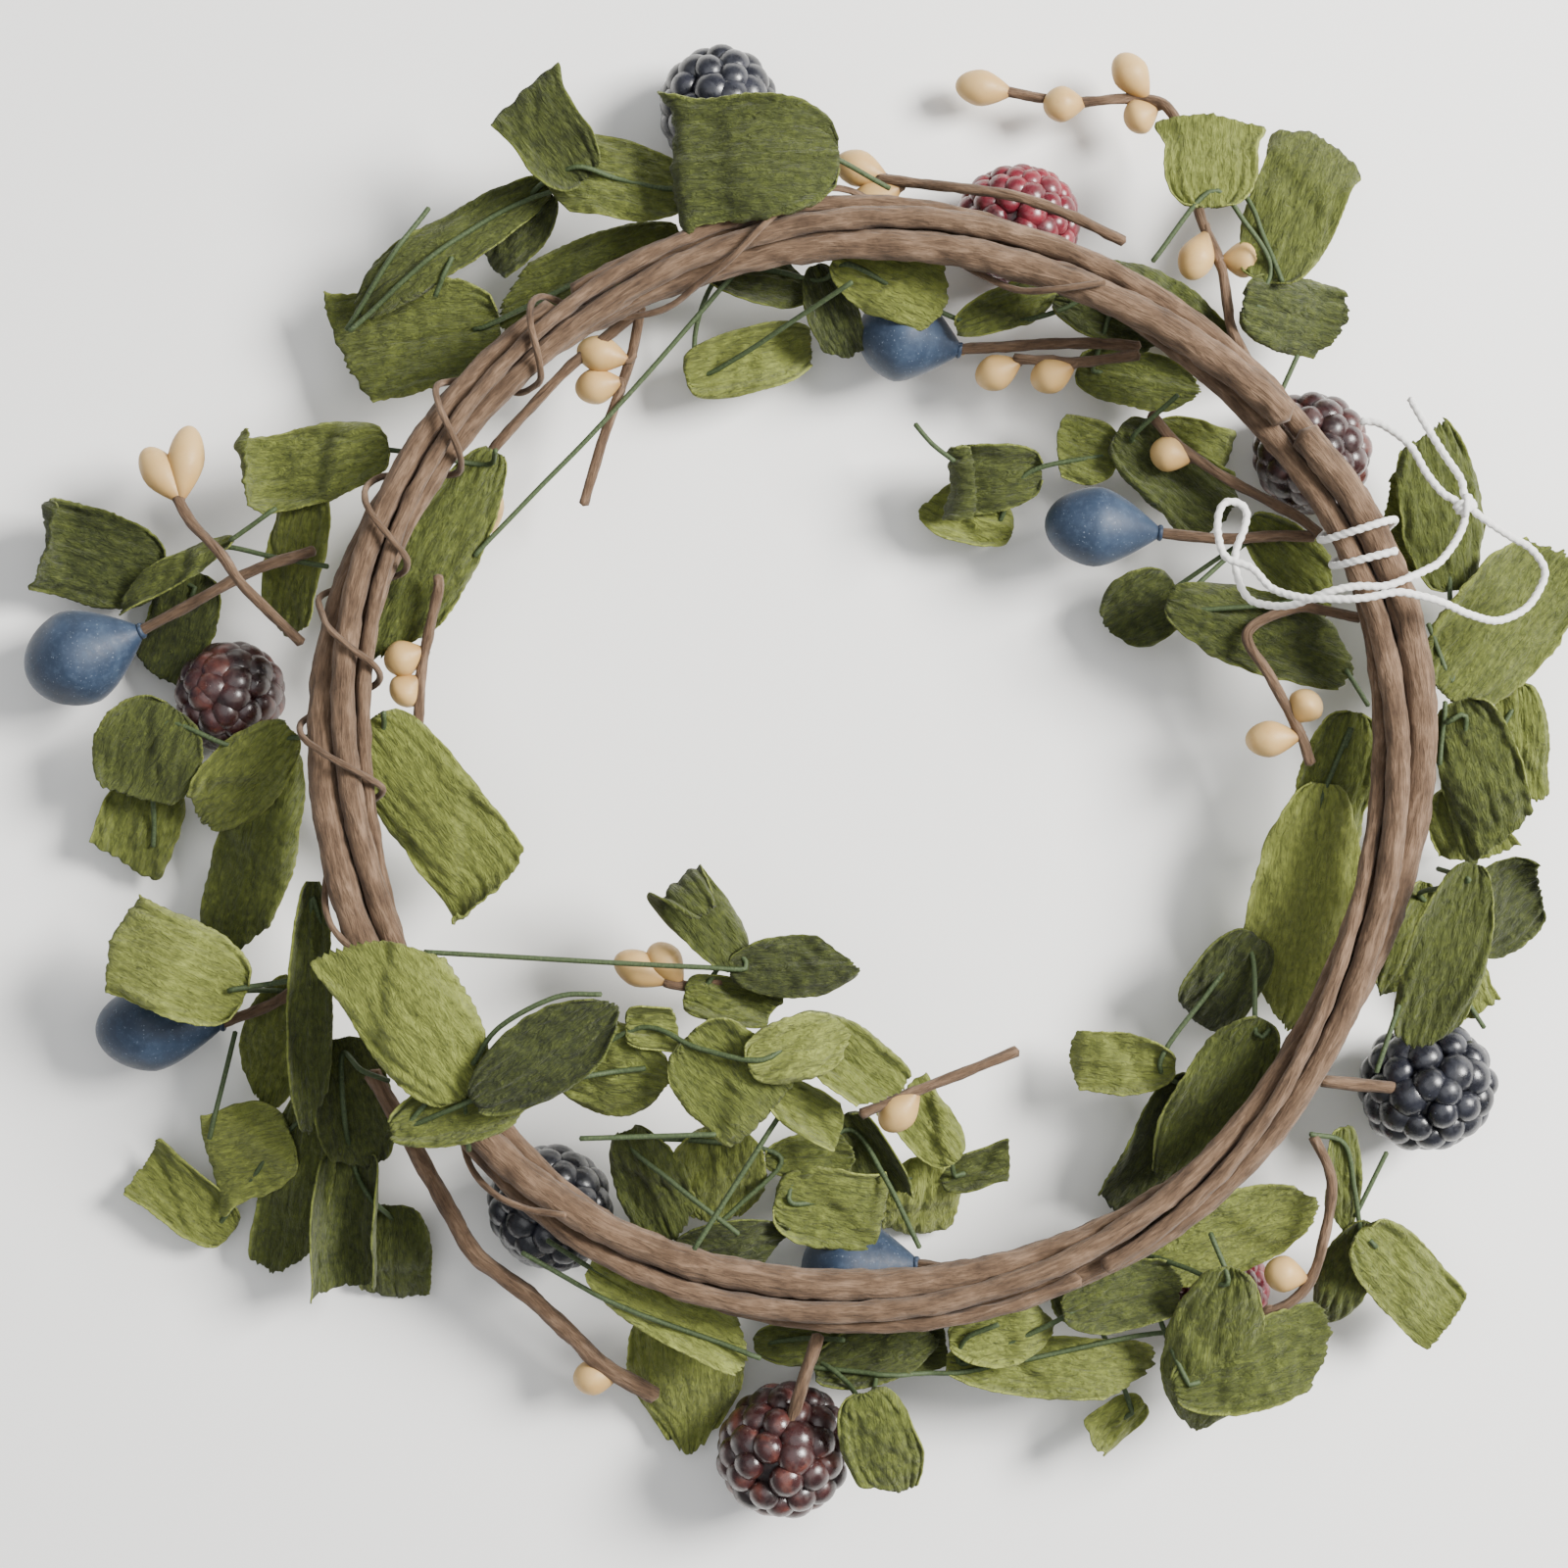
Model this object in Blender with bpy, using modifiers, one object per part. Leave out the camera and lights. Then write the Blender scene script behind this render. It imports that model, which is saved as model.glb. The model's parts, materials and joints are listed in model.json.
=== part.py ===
"""Harvest door wreath, lying face down with its twisted ring and hanging string uppermost.

Every position is given the way the wreath is laid out: an angle round the ring in degrees
(0 is +X, counter-clockwise), a distance out from the ring's centre line and a height, both in
millimetres. A negative distance is inside the ring. The file is in metres, +Z up.
"""
import math

import bmesh
import bpy
from mathutils import Matrix, Vector
from mathutils.bvhtree import BVHTree

# Driving dimensions, in millimetres
MM = 0.001
RING_RADIUS = 100.0
RING_HEIGHT = 34.0
RING_SEGMENTS = 34
RING_WOBBLE = 1.6
BUNDLE_TWISTS = 2
PAPER = 0.5
WIRE_RADIUS = 0.6
TWIG_RADIUS = 0.9
STEM_RADIUS = 1.0
TENDRIL_RADIUS = 0.75
STRING_RADIUS = 0.75
GAP = 0.3
ROLL_RADIUS = 4.5
TABLE_CLEARANCE = 1.5

# The strands of the ring: name, radius, distance from the bundle's centre, phase in degrees
STRANDS = [
    ("ring_strand_thick", 2.75, 2.5, 0),
    ("ring_strand_second", 2.1, 3.5, 130),
    ("ring_strand_third", 1.9, 3.5, 235),
    ("ring_strand_thin", 1.3, 5.2, 183),
]

# The thin tendril: where along the ring it winds, and how many turns it makes there
TENDRIL_STRETCHES = [(64, 122, 1.5), (122, 186, 5.0), (186, 236, 1.5)]
TIE_ANGLE = 24.7
TIE_TURNS = 1.7
TIE_PITCH = 3.2

# The hanging string: one bare end to the knot, round the loop, and from the knot to the other end
FIRST_TAIL = [(34, 22, 34), (31.5, 21.5, 35), (28, 21.5, 36.5), (25.6, 22, 37)]
LOOP = [
    (21.3, 23.5, 37), (19.5, 26.5, 36.5), (18, 29.5, 36), (16, 31, 35.5), (14.5, 29, 35.5),
    (13.2, 25, 37), (12.8, 19, 39.5), (14, 13.5, 42.5), (16, 8, 45.4), (18, 1, 46.6),
    (18.5, -5, 46.6), (19.5, -10, 45.4), (21, -15, 43), (23.5, -19, 40.5), (27, -20.5, 39),
    (30, -23.5, 37.6), (33, -22.5, 36), (35.5, -20, 35.2), (36.2, -17.5, 34.8),
    (35, -15.5, 34.6), (33.5, -15.5, 34.6), (32, -17.5, 34.6), (30, -21, 34.6), (27, -23, 35),
    (23.5, -23, 36), (21.5, -20, 37), (20.5, -16, 38.8), (20.5, -10, 42), (20, -5, 43.4),
    (19, 0, 43.6), (19, 5, 43), (19.5, 12, 40), (21, 17, 37.8),
]
SECOND_TAIL = [(25.2, 18, 36.5), (27.5, 17, 36), (30.5, 17, 35), (33.5, 15, 33), (34.8, 12.5, 32)]
KNOT_PLACE = (23.4, 20.6, 37)
KNOT_LEAN = 302.0
KNOT_HALF_GAP = 0.95
KNOT_RADIUS = 0.55

# Balls of drupelets: name, angle and distance out, radius, lift off the table, colour, stem
BERRIES = [
    ("bramble_top", (102.5, 30), 12.5, 0, "black", []),
    ("raspberry_top", (74.5, 9), 12.5, 0, "red", []),
    ("bramble_upper_right", (35, 5), 12.2, 0, "plum", []),
    ("bramble_right", (330, 25), 13.6, 2, "black", [(327.5, 14, 25), (325, 5, 25.5)]),
    ("raspberry_lower_right", (304, 22), 11.0, 0, "red", []),
    ("bramble_bottom", (263, 33), 13.6, 2, "plum", [(264, 18, 25), (265, 9, 25.5)]),
    ("bramble_lower_left", (234.5, 6), 12.8, 0, "black", []),
    ("bramble_left", (174, 24), 11.2, 0, "plum", []),
]

# Blue drops: name, centre of the round end, tip, stem onwards from the tip, radius
DROPS = [
    ("blue_drop_top", (85, -17, 14), (77, -18, 14),
     [(71, -15, 17), (63.5, -10, 20), (57, -5, 22)], 9.0),
    ("blue_drop_upper_right", (47.5, -38, 18), (38, -28, 18),
     [(32.5, -20, 21), (29.5, -12, 23), (27, -5, 25)], 7.8),
    ("blue_drop_left", (172.5, 55, 13), (169.5, 42, 15),
     [(166.5, 33, 18), (162.5, 23, 21), (159, 13, 24)], 9.6),
    ("blue_drop_lower_left", (200, 50, 12), (202, 34, 13),
     [(202, 24, 16), (201, 14, 20), (200, 8, 24)], 8.6),
    ("blue_drop_bottom", (268.5, -2, 12), (276, -3, 16),
     [(279, -2, 20), (281, -1, 24)], 10.2),
]

# Twigs wrapped in brown crepe, with cream pips: name, stems, pips as (root, tip)
TWIGS = [
    ("twig_top_right",
     [[(40.5, 2, 25), (44.5, 4, 24), (50.5, 9, 20), (54.5, 17, 18), (58.5, 23, 16),
       (62, 33, 14), (65.5, 40, 12), (68.5, 39, 10), (72.5, 35, 9), (78.5, 34, 8)]],
     [((77.5, 34, 8), (82.5, 34, 7)), ((71.5, 35.5, 9), (75, 33, 9)),
      ((67, 40, 11), (70.5, 46, 11)), ((66, 39.5, 11), (68, 34.5, 9)),
      ((57.5, 21.5, 17), (56.5, 11.5, 18)), ((55, 18, 18), (52, 23, 17))]),
    ("twig_top",
     [[(64, 9, 31), (70, 9.5, 31), (75, 10, 30.5), (80, 10, 28), (84, 10.5, 24), (89, 12, 20)]],
     [((88, 12, 20), (93, 16, 17)), ((86.5, 10.5, 21), (92, 6, 17))]),
    ("twig_top_inner",
     [[(56.5, -7, 24), (62, -13, 20), (70, -17, 16)]],
     [((69, -17, 16), (74, -23, 13)), ((62.5, -14, 20), (66.5, -20, 15))]),
    ("twig_upper_right",
     [[(27, -4, 26), (30, -6, 25), (39, -13, 23), (45.5, -15, 22), (51, -14, 21)]],
     [((43, -15, 22), (48, -19, 20))]),
    ("twig_right_inner",
     [[(16.5, -3, 26), (20, -14, 25), (19, -24, 25), (12, -22, 25), (4.5, -18, 24),
       (0, -16, 24)]],
     [((3.5, -17.5, 24), (3.5, -28, 22)), ((5.5, -19, 24), (9, -14, 24))]),
    ("twig_lower_right",
     [[(320, 10, 26), (318, 18, 26), (313.5, 25, 26), (310.5, 29, 25), (308, 30, 24),
       (305.5, 29, 22)]],
     [((310.5, 28.5, 25), (308, 22, 25)), ((306.5, 29, 23), (306, 39, 20))]),
    ("twig_left_outer",
     [[(168, 9, 31), (164, 23, 29), (162, 29, 27), (160.5, 36, 24), (159, 41, 22)]],
     [((159.2, 40, 22), (156.5, 51, 19)), ((159.2, 40, 22), (153.5, 45, 19))]),
    ("twig_inner_upper_left",
     [[(116.5, -3, 25), (119.5, -9, 22), (123.5, -14, 20), (128.5, -19, 19), (137.5, -26, 18)],
      [(117, -3.5, 24.6), (126, -5, 22), (134, -6, 20), (140, -6, 18), (143, -7, 17)]],
     [((120.5, -10.5, 22), (125, -3, 21)), ((122.5, -13, 21), (128, -9, 19)),
      ((142, -7, 17.4), (149, -14, 15))]),
    ("twig_left_inner",
     [[(156.5, -11, 25), (158, -12, 24), (167, -13, 22), (177, -14, 22)]],
     [((165.5, -13, 22), (168.5, -6, 21)), ((169, -13, 22), (172.5, -9, 20))]),
    ("twig_centre",
     [[(297, -40, 40), (279.5, -39, 41), (268.5, -35, 41)]],
     [((278.5, -39, 41), (272, -32, 39))]),
    ("twig_inner_pips",
     [[(236, -50, 21), (232, -46, 21), (227, -43, 21)]],
     [((228, -43.5, 21), (217.5, -39, 19)), ((230, -45, 21), (220, -46, 19))]),
]

# A strand that has sprung loose from the ring, with a pip on it
LOOSE_STRAND = ("ring_strand_loose",
                [[(212, 11, 26), (220, 13, 25), (227, 17, 23), (231, 20, 22), (237.5, 21, 20),
                  (243, 24, 18), (246.5, 27, 16), (251.5, 29, 14)]],
                [((248, 27.5, 15), (244.5, 32, 14))])

# Sprays of paper leaves on green wire: name, where the wire leaves the ring, then a leaf a row:
# base, tip, width, cupping across and curl at the tip in degrees, and how blunt the tip is
SPRAYS = [
    ("leaf_spray_top_outer", (88, 8, 33), [
        ((93, 13, 35), (108.5, 17, 36), 23, -25, -120, 0.6),
        ((107.5, 13, 29), (120, 31, 27), 16, -20, 0, 0.4),
        ((116, 22, 27), (117.5, 42, 31), 14, 15, 0, 0.6),
        ((119, 26, 24), (139.5, 33, 17), 11, -15, 0, 0.2),
        ((119, 24, 22), (127.5, 20, 16), 10, 20, 0, 0.3),
    ]),
    ("leaf_spray_top_under", (109.5, 8, 24), [
        ((109.5, 8, 19), (130.5, 14, 13), 13, -25, 0, 0.3),
        ((130, 10, 18), (143, 31, 11), 22, 35, 30, 0.8),
    ]),
    ("leaf_spray_upper_left", (140, -8, 28), [
        ((140, -7, 26), (170.5, -2, 22), 16, -30, 0, 0.2),
        ((146.5, 9, 25), (155, 29, 20), 15, -15, 170, 0.5),
        ((150.5, 21, 21), (168, 16, 13), 12, -20, 0, 0.3),
    ]),
    ("leaf_spray_left_drop", (160, 9, 26), [
        ((160.5, 29, 18), (168.5, 51, 12), 6, -60, 0, 0.3),
        ((165, 42, 12), (165, 65, 14), 19, -20, 150, 0.6),
        ((164, 35, 8), (173, 39, 5), 15, 25, 0, 0.4),
    ]),
    ("leaf_spray_left_fold", (174, -8, 29), [
        ((175, -5, 25), (198, -24, 18), 20, -30, 130, 0.5),
        ((176.5, 10, 23), (185.5, 31, 14), 15, -20, 0, 0.3),
        ((178.5, 12, 17), (198, 33, 8), 16, -35, 0, 0.2),
        ((175.5, 33, 16), (182.5, 44, 13), 21, -20, 60, 0.7),
        ((181, 38, 10), (188, 47, 6), 16, 15, 0, 0.5),
    ]),
    ("leaf_spray_over_drop", (201.5, 9, 29), [
        ((200.5, 26, 28), (193, 48, 24), 19, -30, -60, 0.7),
        ((200.5, 18, 17), (209.5, 36, 8), 15, -25, 0, 0.3),
    ]),
    ("leaf_spray_lower_left", (200, 8.5, 27), [
        ((192, 7, 25), (214.5, 29, 18), 9, 80, 0, 0.3),
        ((210.5, 23, 16), (221.5, 53, 6), 15, -30, 0, 0.3),
        ((213, 32, 14), (211, 52, 9), 19, 20, 0, 0.5),
        ((216.5, 55, 7), (209, 62, 6), 14, 110, 0, 0.5),
    ]),
    ("leaf_spray_low_cups", (213.5, 9, 27), [
        ((207.5, 14, 22), (219.5, 25, 17), 16, 60, 0, 0.4),
        ((217, 24, 13), (225.5, 43, 9), 21, 200, 0, 0.7),
        ((223, 26, 9), (229, 41, 4), 15, -30, 0, 0.4),
    ]),
    ("leaf_spray_raised_left", (224, 3, 43), [
        ((219.5, -4, 47), (197, -1, 49), 21, -35, -30, 0.4),
        ((217.5, 11, 44), (225, -18, 45), 13, 20, 0, 0.2),
        ((220.5, -5, 50), (223.5, -37, 54), 15, -25, 0, 0.15),
    ]),
    ("leaf_spray_raised_right", (250, -5, 44), [
        ((253.5, -38, 46), (266.5, -32, 44), 11, 130, 0, 0.4),
        ((253, -51, 49), (275, -38, 48), 13, 60, 0, 0.2),
        ((247.5, -41, 53), (265, -51, 51), 12, -20, 0, 0.4),
        ((236, -40, 50), (254, -32, 47), 19, -25, 0, 0.6),
        ((227, -34, 46), (235, -40, 46), 11, 160, 0, 0.6),
        ((223.5, -19, 44), (238, -32, 46), 18, -30, 0, 0.3),
    ]),
    ("leaf_spray_low_centre", (254.5, -8, 29), [
        ((236.5, -17, 27), (248.5, -1, 17), 14, -25, 0, 0.3),
        ((247.5, -25, 25), (251.5, -8, 15), 19, 20, 0, 0.6),
        ((255.5, -22, 22), (267.5, -25, 20), 9, -20, 0, 0.3),
        ((248.5, 0, 20), (261.5, -9, 21), 10, 25, 0, 0.3),
    ]),
    ("leaf_spray_low_centre_roll", (276, -8, 29), [
        ((266, -32, 19), (273, -17, 13), 15, 165, 0, 0.8),
        ((258, -15, 14), (272.5, -13, 9), 16, 20, 0, 0.4),
        ((279, -23, 16), (276, -5, 8), 15, -25, 0, 0.4),
        ((282.5, -22, 20), (276, -36, 18), 11, -40, 60, 0.5),
        ((280, -18, 13), (290.5, -19, 14), 8, 95, 0, 0.5),
    ]),
    ("leaf_spray_inner_wire", (203, -9, 29), [
        ((236, -53, 27), (269.5, -62, 25), 12, -20, 0, 0.2),
        ((237.5, -55, 26), (212, -57, 30), 12, -20, 200, 0.5),
        ((231.5, -44, 22), (250.5, -50, 21), 12, 150, 0, 0.5),
    ]),
    ("leaf_spray_bottom_left", (236, 8.5, 30), [
        ((241, 9, 28), (259.5, 15, 24), 12, -20, 0, 0.2),
        ((250.5, 8, 26), (255.5, 38, 11), 23, -25, 0, 0.25),
    ]),
    ("leaf_spray_bottom_mid", (267.5, 9, 28), [
        ((259, 14, 16), (270, 10, 14), 10, 25, 0, 0.3),
        ((265, 17, 20), (277.5, 10, 17), 12, -30, 0, 0.3),
        ((269.5, 18, 14), (272.5, 41, 6), 15, -30, 0, 0.35),
        ((270.5, 13, 17), (277.5, 12, 15), 12, 20, 0, 0.5),
    ]),
    ("leaf_spray_bottom_right", (283, 9, 28), [
        ((278, 11, 24), (289, 13, 21), 12, -20, 0, 0.3),
        ((277.5, 16, 19), (296.5, 31, 15), 12, 25, 0, 0.2),
        ((289.5, 10, 26), (301, 15, 23), 13, -25, 0, 0.3),
        ((292.5, 4, 18), (292.5, 18, 12), 14, 20, 0, 0.4),
        ((293.5, 35, 14), (288.5, 38, 11), 8, -30, 120, 0.4),
    ]),
    ("leaf_spray_bottom_front", (306, 9, 31), [
        ((305.5, 16, 35), (296, 44, 16), 19, -35, 0, 0.3),
        ((297.5, 8, 23), (315.5, 20, 20), 16, 20, 0, 0.4),
        ((296, 32, 13), (309.5, 41, 10), 17, -25, 0, 0.3),
    ]),
    ("leaf_spray_right_curl", (320, 9, 29), [
        ((322.5, 14, 25), (315, 29, 16), 8, -60, 0, 0.4),
        ((317.5, 30, 20), (309, 40, 13), 10, -30, 0, 0.3),
        ((316.5, 29, 24), (316, 56, 12), 15, -50, 60, 0.5),
    ]),
    ("leaf_spray_right_inner", (326.5, -9, 29), [
        ((327, -11, 28), (304.5, 0, 16), 17, -30, 0, 0.25),
        ((336, -18, 20), (321, -19, 13), 15, 90, 0, 0.4),
        ((315.5, -17, 18), (304, -31, 12), 12, 20, 0, 0.3),
        ((317, -11, 13), (299.5, 3, 7), 17, 25, 0, 0.4),
    ]),
    ("leaf_spray_inner_right", (2, -9, 29), [
        ((6, -7, 26), (349, -12, 18), 15, -25, 0, 0.4),
        ((357.5, -13, 22), (326, -3, 11), 22, -30, 0, 0.25),
    ]),
    ("leaf_spray_right_outer", (349.5, 9, 30), [
        ((350.5, 13, 29), (332.5, 16, 19), 15, 40, 0, 0.25),
        ((348, 9, 21), (335.5, 9, 16), 9, -30, 0, 0.3),
        ((343.5, 21, 16), (350, 31, 12), 16, -20, 90, 0.5),
        ((342, 20, 11), (337.5, 29, 7), 11, -20, 0, 0.4),
    ]),
    ("leaf_spray_right_roll", (4, 9, 31), [
        ((6, 12, 31), (352.5, 22, 22), 16, -50, 80, 0.5),
        ((358, 12, 20), (350.5, 21, 13), 15, -30, 0, 0.4),
        ((7, 26, 17), (356.5, 28, 11), 11, -35, 0, 0.4),
    ]),
    ("leaf_spray_right_top", (14, 9, 29), [
        ((7, 9, 28), (17, 40, 18), 22, -20, 0, 0.6),
        ((16.5, 16, 24), (31.5, 26, 22), 17, -30, 0, 0.5),
        ((19.5, 25, 16), (26.5, 11, 12), 18, 30, 0, 0.5),
    ]),
    ("leaf_spray_under_string", (20, -9, 27), [
        ((28.5, -35, 24), (11, -4, 21), 16, -25, 0, 0.3),
        ((32.5, -13, 20), (18, -4, 19), 12, -20, 0, 0.3),
        ((29.5, -31, 13), (29.5, -46, 8), 15, 25, 0, 0.4),
    ]),
    ("leaf_spray_inner_top_right", (50, -9, 28), [
        ((53, -20, 21), (35, -16, 15), 15, -25, 0, 0.4),
        ((49, -15, 15), (39.5, -7, 11), 10, 20, 0, 0.4),
        ((50.5, -24, 16), (60, -28, 14), 13, -20, 0, 0.4),
        ((59, -34, 13), (73.5, -43, 12), 14, -30, 190, 0.6),
        ((58, -46, 9), (79, -48, 8), 12, 60, 0, 0.4),
    ]),
    ("leaf_spray_top_right", (60.5, 9, 29), [
        ((58.5, 23, 29), (62, 39, 25), 18, -30, 0, 0.5),
        ((50.5, 19, 22), (54, 51, 14), 18, -30, 0, 0.4),
        ((51, 13, 25), (42.5, 25, 15), 15, -30, 0, 0.4),
    ]),
    ("leaf_spray_top_inner", (92, -9, 27), [
        ((115, -17, 11), (96.5, -17, 9), 15, 120, 0, 0.5),
        ((108, 0, 17), (95.5, -8, 13), 12, -20, 0, 0.3),
        ((96, -4, 20), (92.5, -21, 13), 10, 20, 0, 0.3),
        ((94, -4, 22), (80.5, -11, 18), 14, -20, 0, 0.3),
        ((78.5, -15, 20), (68, -2, 15), 8, 20, 0, 0.3),
        ((68, -4, 17), (54.5, 1, 13), 9, 20, 0, 0.3),
        ((64.5, 5, 21), (47.5, 6, 14), 12, -20, 0, 0.3),
        ((62, -13, 13), (48, -3, 11), 11, -25, 0, 0.4),
    ]),
]

# Stems that bend where they leave the ring: name, the bend's place, how far it is let down, raised
HINGES = {
    "blue_drop_upper_right": ((27, -5, 25), -3, 8),
    "twig_left_outer": ((168, 9, 31), -5, 20),
    "bramble_right": ((325, 5, 25.5), -3, 15),
    "bramble_bottom": ((265, 9, 25.5), -3, 15),
}

COLOURS = {
    "bark": ((0.30, 0.16, 0.08), 0.85),
    "string": ((0.86, 0.85, 0.80), 0.9),
    "black": ((0.035, 0.015, 0.03), 0.45),
    "plum": ((0.10, 0.02, 0.04), 0.45),
    "red": ((0.36, 0.02, 0.02), 0.45),
    "blue": ((0.12, 0.20, 0.36), 0.7),
    "pale_leaf": ((0.40, 0.46, 0.16), 0.8),
    "olive_leaf": ((0.24, 0.31, 0.11), 0.8),
}


def clear_scene():
    """Remove whatever the file opened with."""
    for item in list(bpy.data.objects):
        bpy.data.objects.remove(item, do_unlink=True)


def make_materials():
    """One Principled material for each colour in the table."""
    materials = {}
    for name, (rgb, roughness) in COLOURS.items():
        material = bpy.data.materials.new(name)
        material.use_nodes = True
        shader = material.node_tree.nodes["Principled BSDF"]
        shader.inputs["Base Color"].default_value = (*rgb, 1.0)
        shader.inputs["Roughness"].default_value = roughness
        shader.inputs["Metallic"].default_value = 0.0
        materials[name] = material
    return materials


def place(spot):
    """A point in metres from an angle round the ring, a distance out from it and a height."""
    angle, out, height = spot
    reach = RING_RADIUS + out
    turn = math.radians(angle)
    return Vector((reach * math.cos(turn), reach * math.sin(turn), height)) * MM


def smooth_route(points, spacing):
    """Points about `spacing` metres apart on a smooth curve through the given ones."""
    ends = [points[0] * 2 - points[1]] + list(points) + [points[-1] * 2 - points[-2]]
    route = []
    for a, b, c, d in zip(ends, ends[1:], ends[2:], ends[3:]):
        steps = max(1, round((c - b).length / spacing))
        for i in range(steps):
            t = i / steps
            route.append(0.5 * (2 * b + (c - a) * t + (2 * a - 5 * b + 4 * c - d) * t ** 2
                                + (3 * b - a - 3 * c + d) * t ** 3))
    return route + [points[-1]]


def solid_mesh(thing, weld=False):
    """The object's evaluated shape as a mesh of its own; the object itself is removed."""
    bpy.context.view_layer.update()
    shape = thing.evaluated_get(bpy.context.evaluated_depsgraph_get())
    mesh = bpy.data.meshes.new_from_object(shape)
    bpy.data.objects.remove(thing, do_unlink=True)
    if weld:
        body = bmesh.new()
        body.from_mesh(mesh)
        bmesh.ops.remove_doubles(body, verts=body.verts, dist=1e-6)
        body.to_mesh(mesh)
        body.free()
    return mesh


def loose_object(data):
    """An object that is only used while another one is made."""
    helper = bpy.data.objects.new("helper", data)
    bpy.context.scene.collection.objects.link(helper)
    return helper


def tube(points, radius, resolution=0, closed=False):
    """A capped round tube along the points, as a mesh."""
    curve = bpy.data.curves.new("tube", "CURVE")
    curve.dimensions = "3D"
    curve.bevel_depth = radius * MM
    curve.bevel_resolution = resolution
    curve.use_fill_caps = True
    spline = curve.splines.new("POLY")
    spline.use_cyclic_u = closed
    spline.points.add(len(points) - 1)
    for knot, point in zip(spline.points, points):
        knot.co = (*point, 1.0)
    return solid_mesh(loose_object(curve), weld=True)


def leaf(base, tip, width, cup, curl, blunt, serial):
    """A paper leaf: a grid cut to its outline, bent along and across, then given thickness."""
    length = (tip - base).length
    along = (tip - base).normalized()
    up = (Vector((0, 0, 1)) - along * along.z).normalized()
    bank = Matrix.Rotation(math.radians(9 * math.sin(serial * 2.4)), 3, along)
    up = bank @ up
    side = up.cross(along)
    bend = math.radians(curl)
    roll = ROLL_RADIUS * MM
    straight = length - roll * math.sin(min(abs(bend), math.pi / 2))
    whole = straight + roll * abs(bend)
    straight_rows = 3 if length > 0.024 else 2
    curl_rows = math.ceil(abs(curl) / 75)
    stations = [straight * i / straight_rows for i in range(straight_rows + 1)]
    stations += [straight + roll * abs(bend) * (i + 1) / curl_rows for i in range(curl_rows)]
    rows = len(stations) - 1
    columns = 2 if abs(cup) < 100 else 3 if abs(cup) < 180 else 4

    def midrib(run):
        arch = 0.05 * length * math.sin(math.pi * min(run / straight, 1.0))
        turn = max(run - straight, 0.0) / roll
        reach = min(run, straight) + roll * math.sin(turn)
        rise = math.copysign(roll * (1 - math.cos(turn)), bend)
        return base + along * reach + up * (arch + rise)

    grid = bmesh.new()
    bmesh.ops.create_grid(grid, x_segments=rows, y_segments=columns, size=1.0)
    for vert in grid.verts:
        row = round((vert.co.x + 1) / 2 * rows)
        share = vert.co.y
        run = stations[row]
        u = run / whole
        ahead = (midrib(run + 1e-4) - midrib(run - 1e-4)).normalized()
        normal = ahead.cross(side)
        normal = normal if normal.dot(up) * math.cos(min(max(run - straight, 0) / roll, 3)) >= 0 \
            else -normal
        end = 0.22 + (blunt - 0.22) * u
        half = width * MM / 2 * (end + (1 - end) * math.sin(math.pi * u) ** 0.7 if 0 < u < 1
                                 else end)
        across = share * half
        if abs(cup) > 1:
            hoop = width * MM / math.radians(cup)
            sideways = hoop * math.sin(across / hoop)
            lift = hoop * (1 - math.cos(across / hoop))
        else:
            sideways, lift = across, 0.0
        spot = midrib(run) + side * sideways + normal * lift
        ripple = math.sin(2.1 * serial + 260 * spot.x) + math.sin(1.3 * serial + 310 * spot.y)
        vert.co = spot + normal * ripple * (0.1 + 0.6 * abs(share)) * MM
    sheet = bpy.data.meshes.new("leaf")
    grid.to_mesh(sheet)
    grid.free()
    holder = loose_object(sheet)
    thickness = holder.modifiers.new("paper", "SOLIDIFY")
    thickness.thickness = PAPER * MM
    thickness.offset = 0.0
    return solid_mesh(holder)


def teardrop(root, tip, radius, segments=6, rings=4, taper=0.7):
    """A ball drawn out to a point at its root, as a mesh."""
    axis = (tip - root).normalized()
    half = (tip - root).length / 2
    body = bmesh.new()
    bmesh.ops.create_uvsphere(body, u_segments=segments, v_segments=rings, radius=1.0)
    spin = axis.to_track_quat("Z", "Y").to_matrix()
    for vert in body.verts:
        height = vert.co.z
        slim = 1 - taper * max(0.0, -height + 0.15) ** 1.3 / 1.15 ** 1.3
        local = Vector((vert.co.x * radius * MM * slim, vert.co.y * radius * MM * slim,
                        height * half))
        vert.co = spin @ local + (root + tip) / 2
    mesh = bpy.data.meshes.new("teardrop")
    body.to_mesh(mesh)
    body.free()
    return mesh


def ball(centre, radius):
    """A plain ball for a cluster of drupelets."""
    body = bmesh.new()
    bmesh.ops.create_icosphere(body, subdivisions=2, radius=radius * MM)
    bmesh.ops.translate(body, verts=body.verts, vec=centre)
    mesh = bpy.data.meshes.new("ball")
    body.to_mesh(mesh)
    body.free()
    return mesh


def outer_shell(mesh):
    """The mesh without the small closed pockets that a union can leave inside it."""
    body = bmesh.new()
    body.from_mesh(mesh)
    left = set(body.verts)
    shells = []
    while left:
        shell = {left.pop()}
        front = list(shell)
        while front:
            vert = front.pop()
            for edge in vert.link_edges:
                other = edge.other_vert(vert)
                if other in left:
                    left.remove(other)
                    shell.add(other)
                    front.append(other)
        shells.append(shell)
    shells.sort(key=len)
    for shell in shells[:-1]:
        bmesh.ops.delete(body, geom=list(shell), context="VERTS")
    body.to_mesh(mesh)
    body.free()
    return mesh


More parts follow.
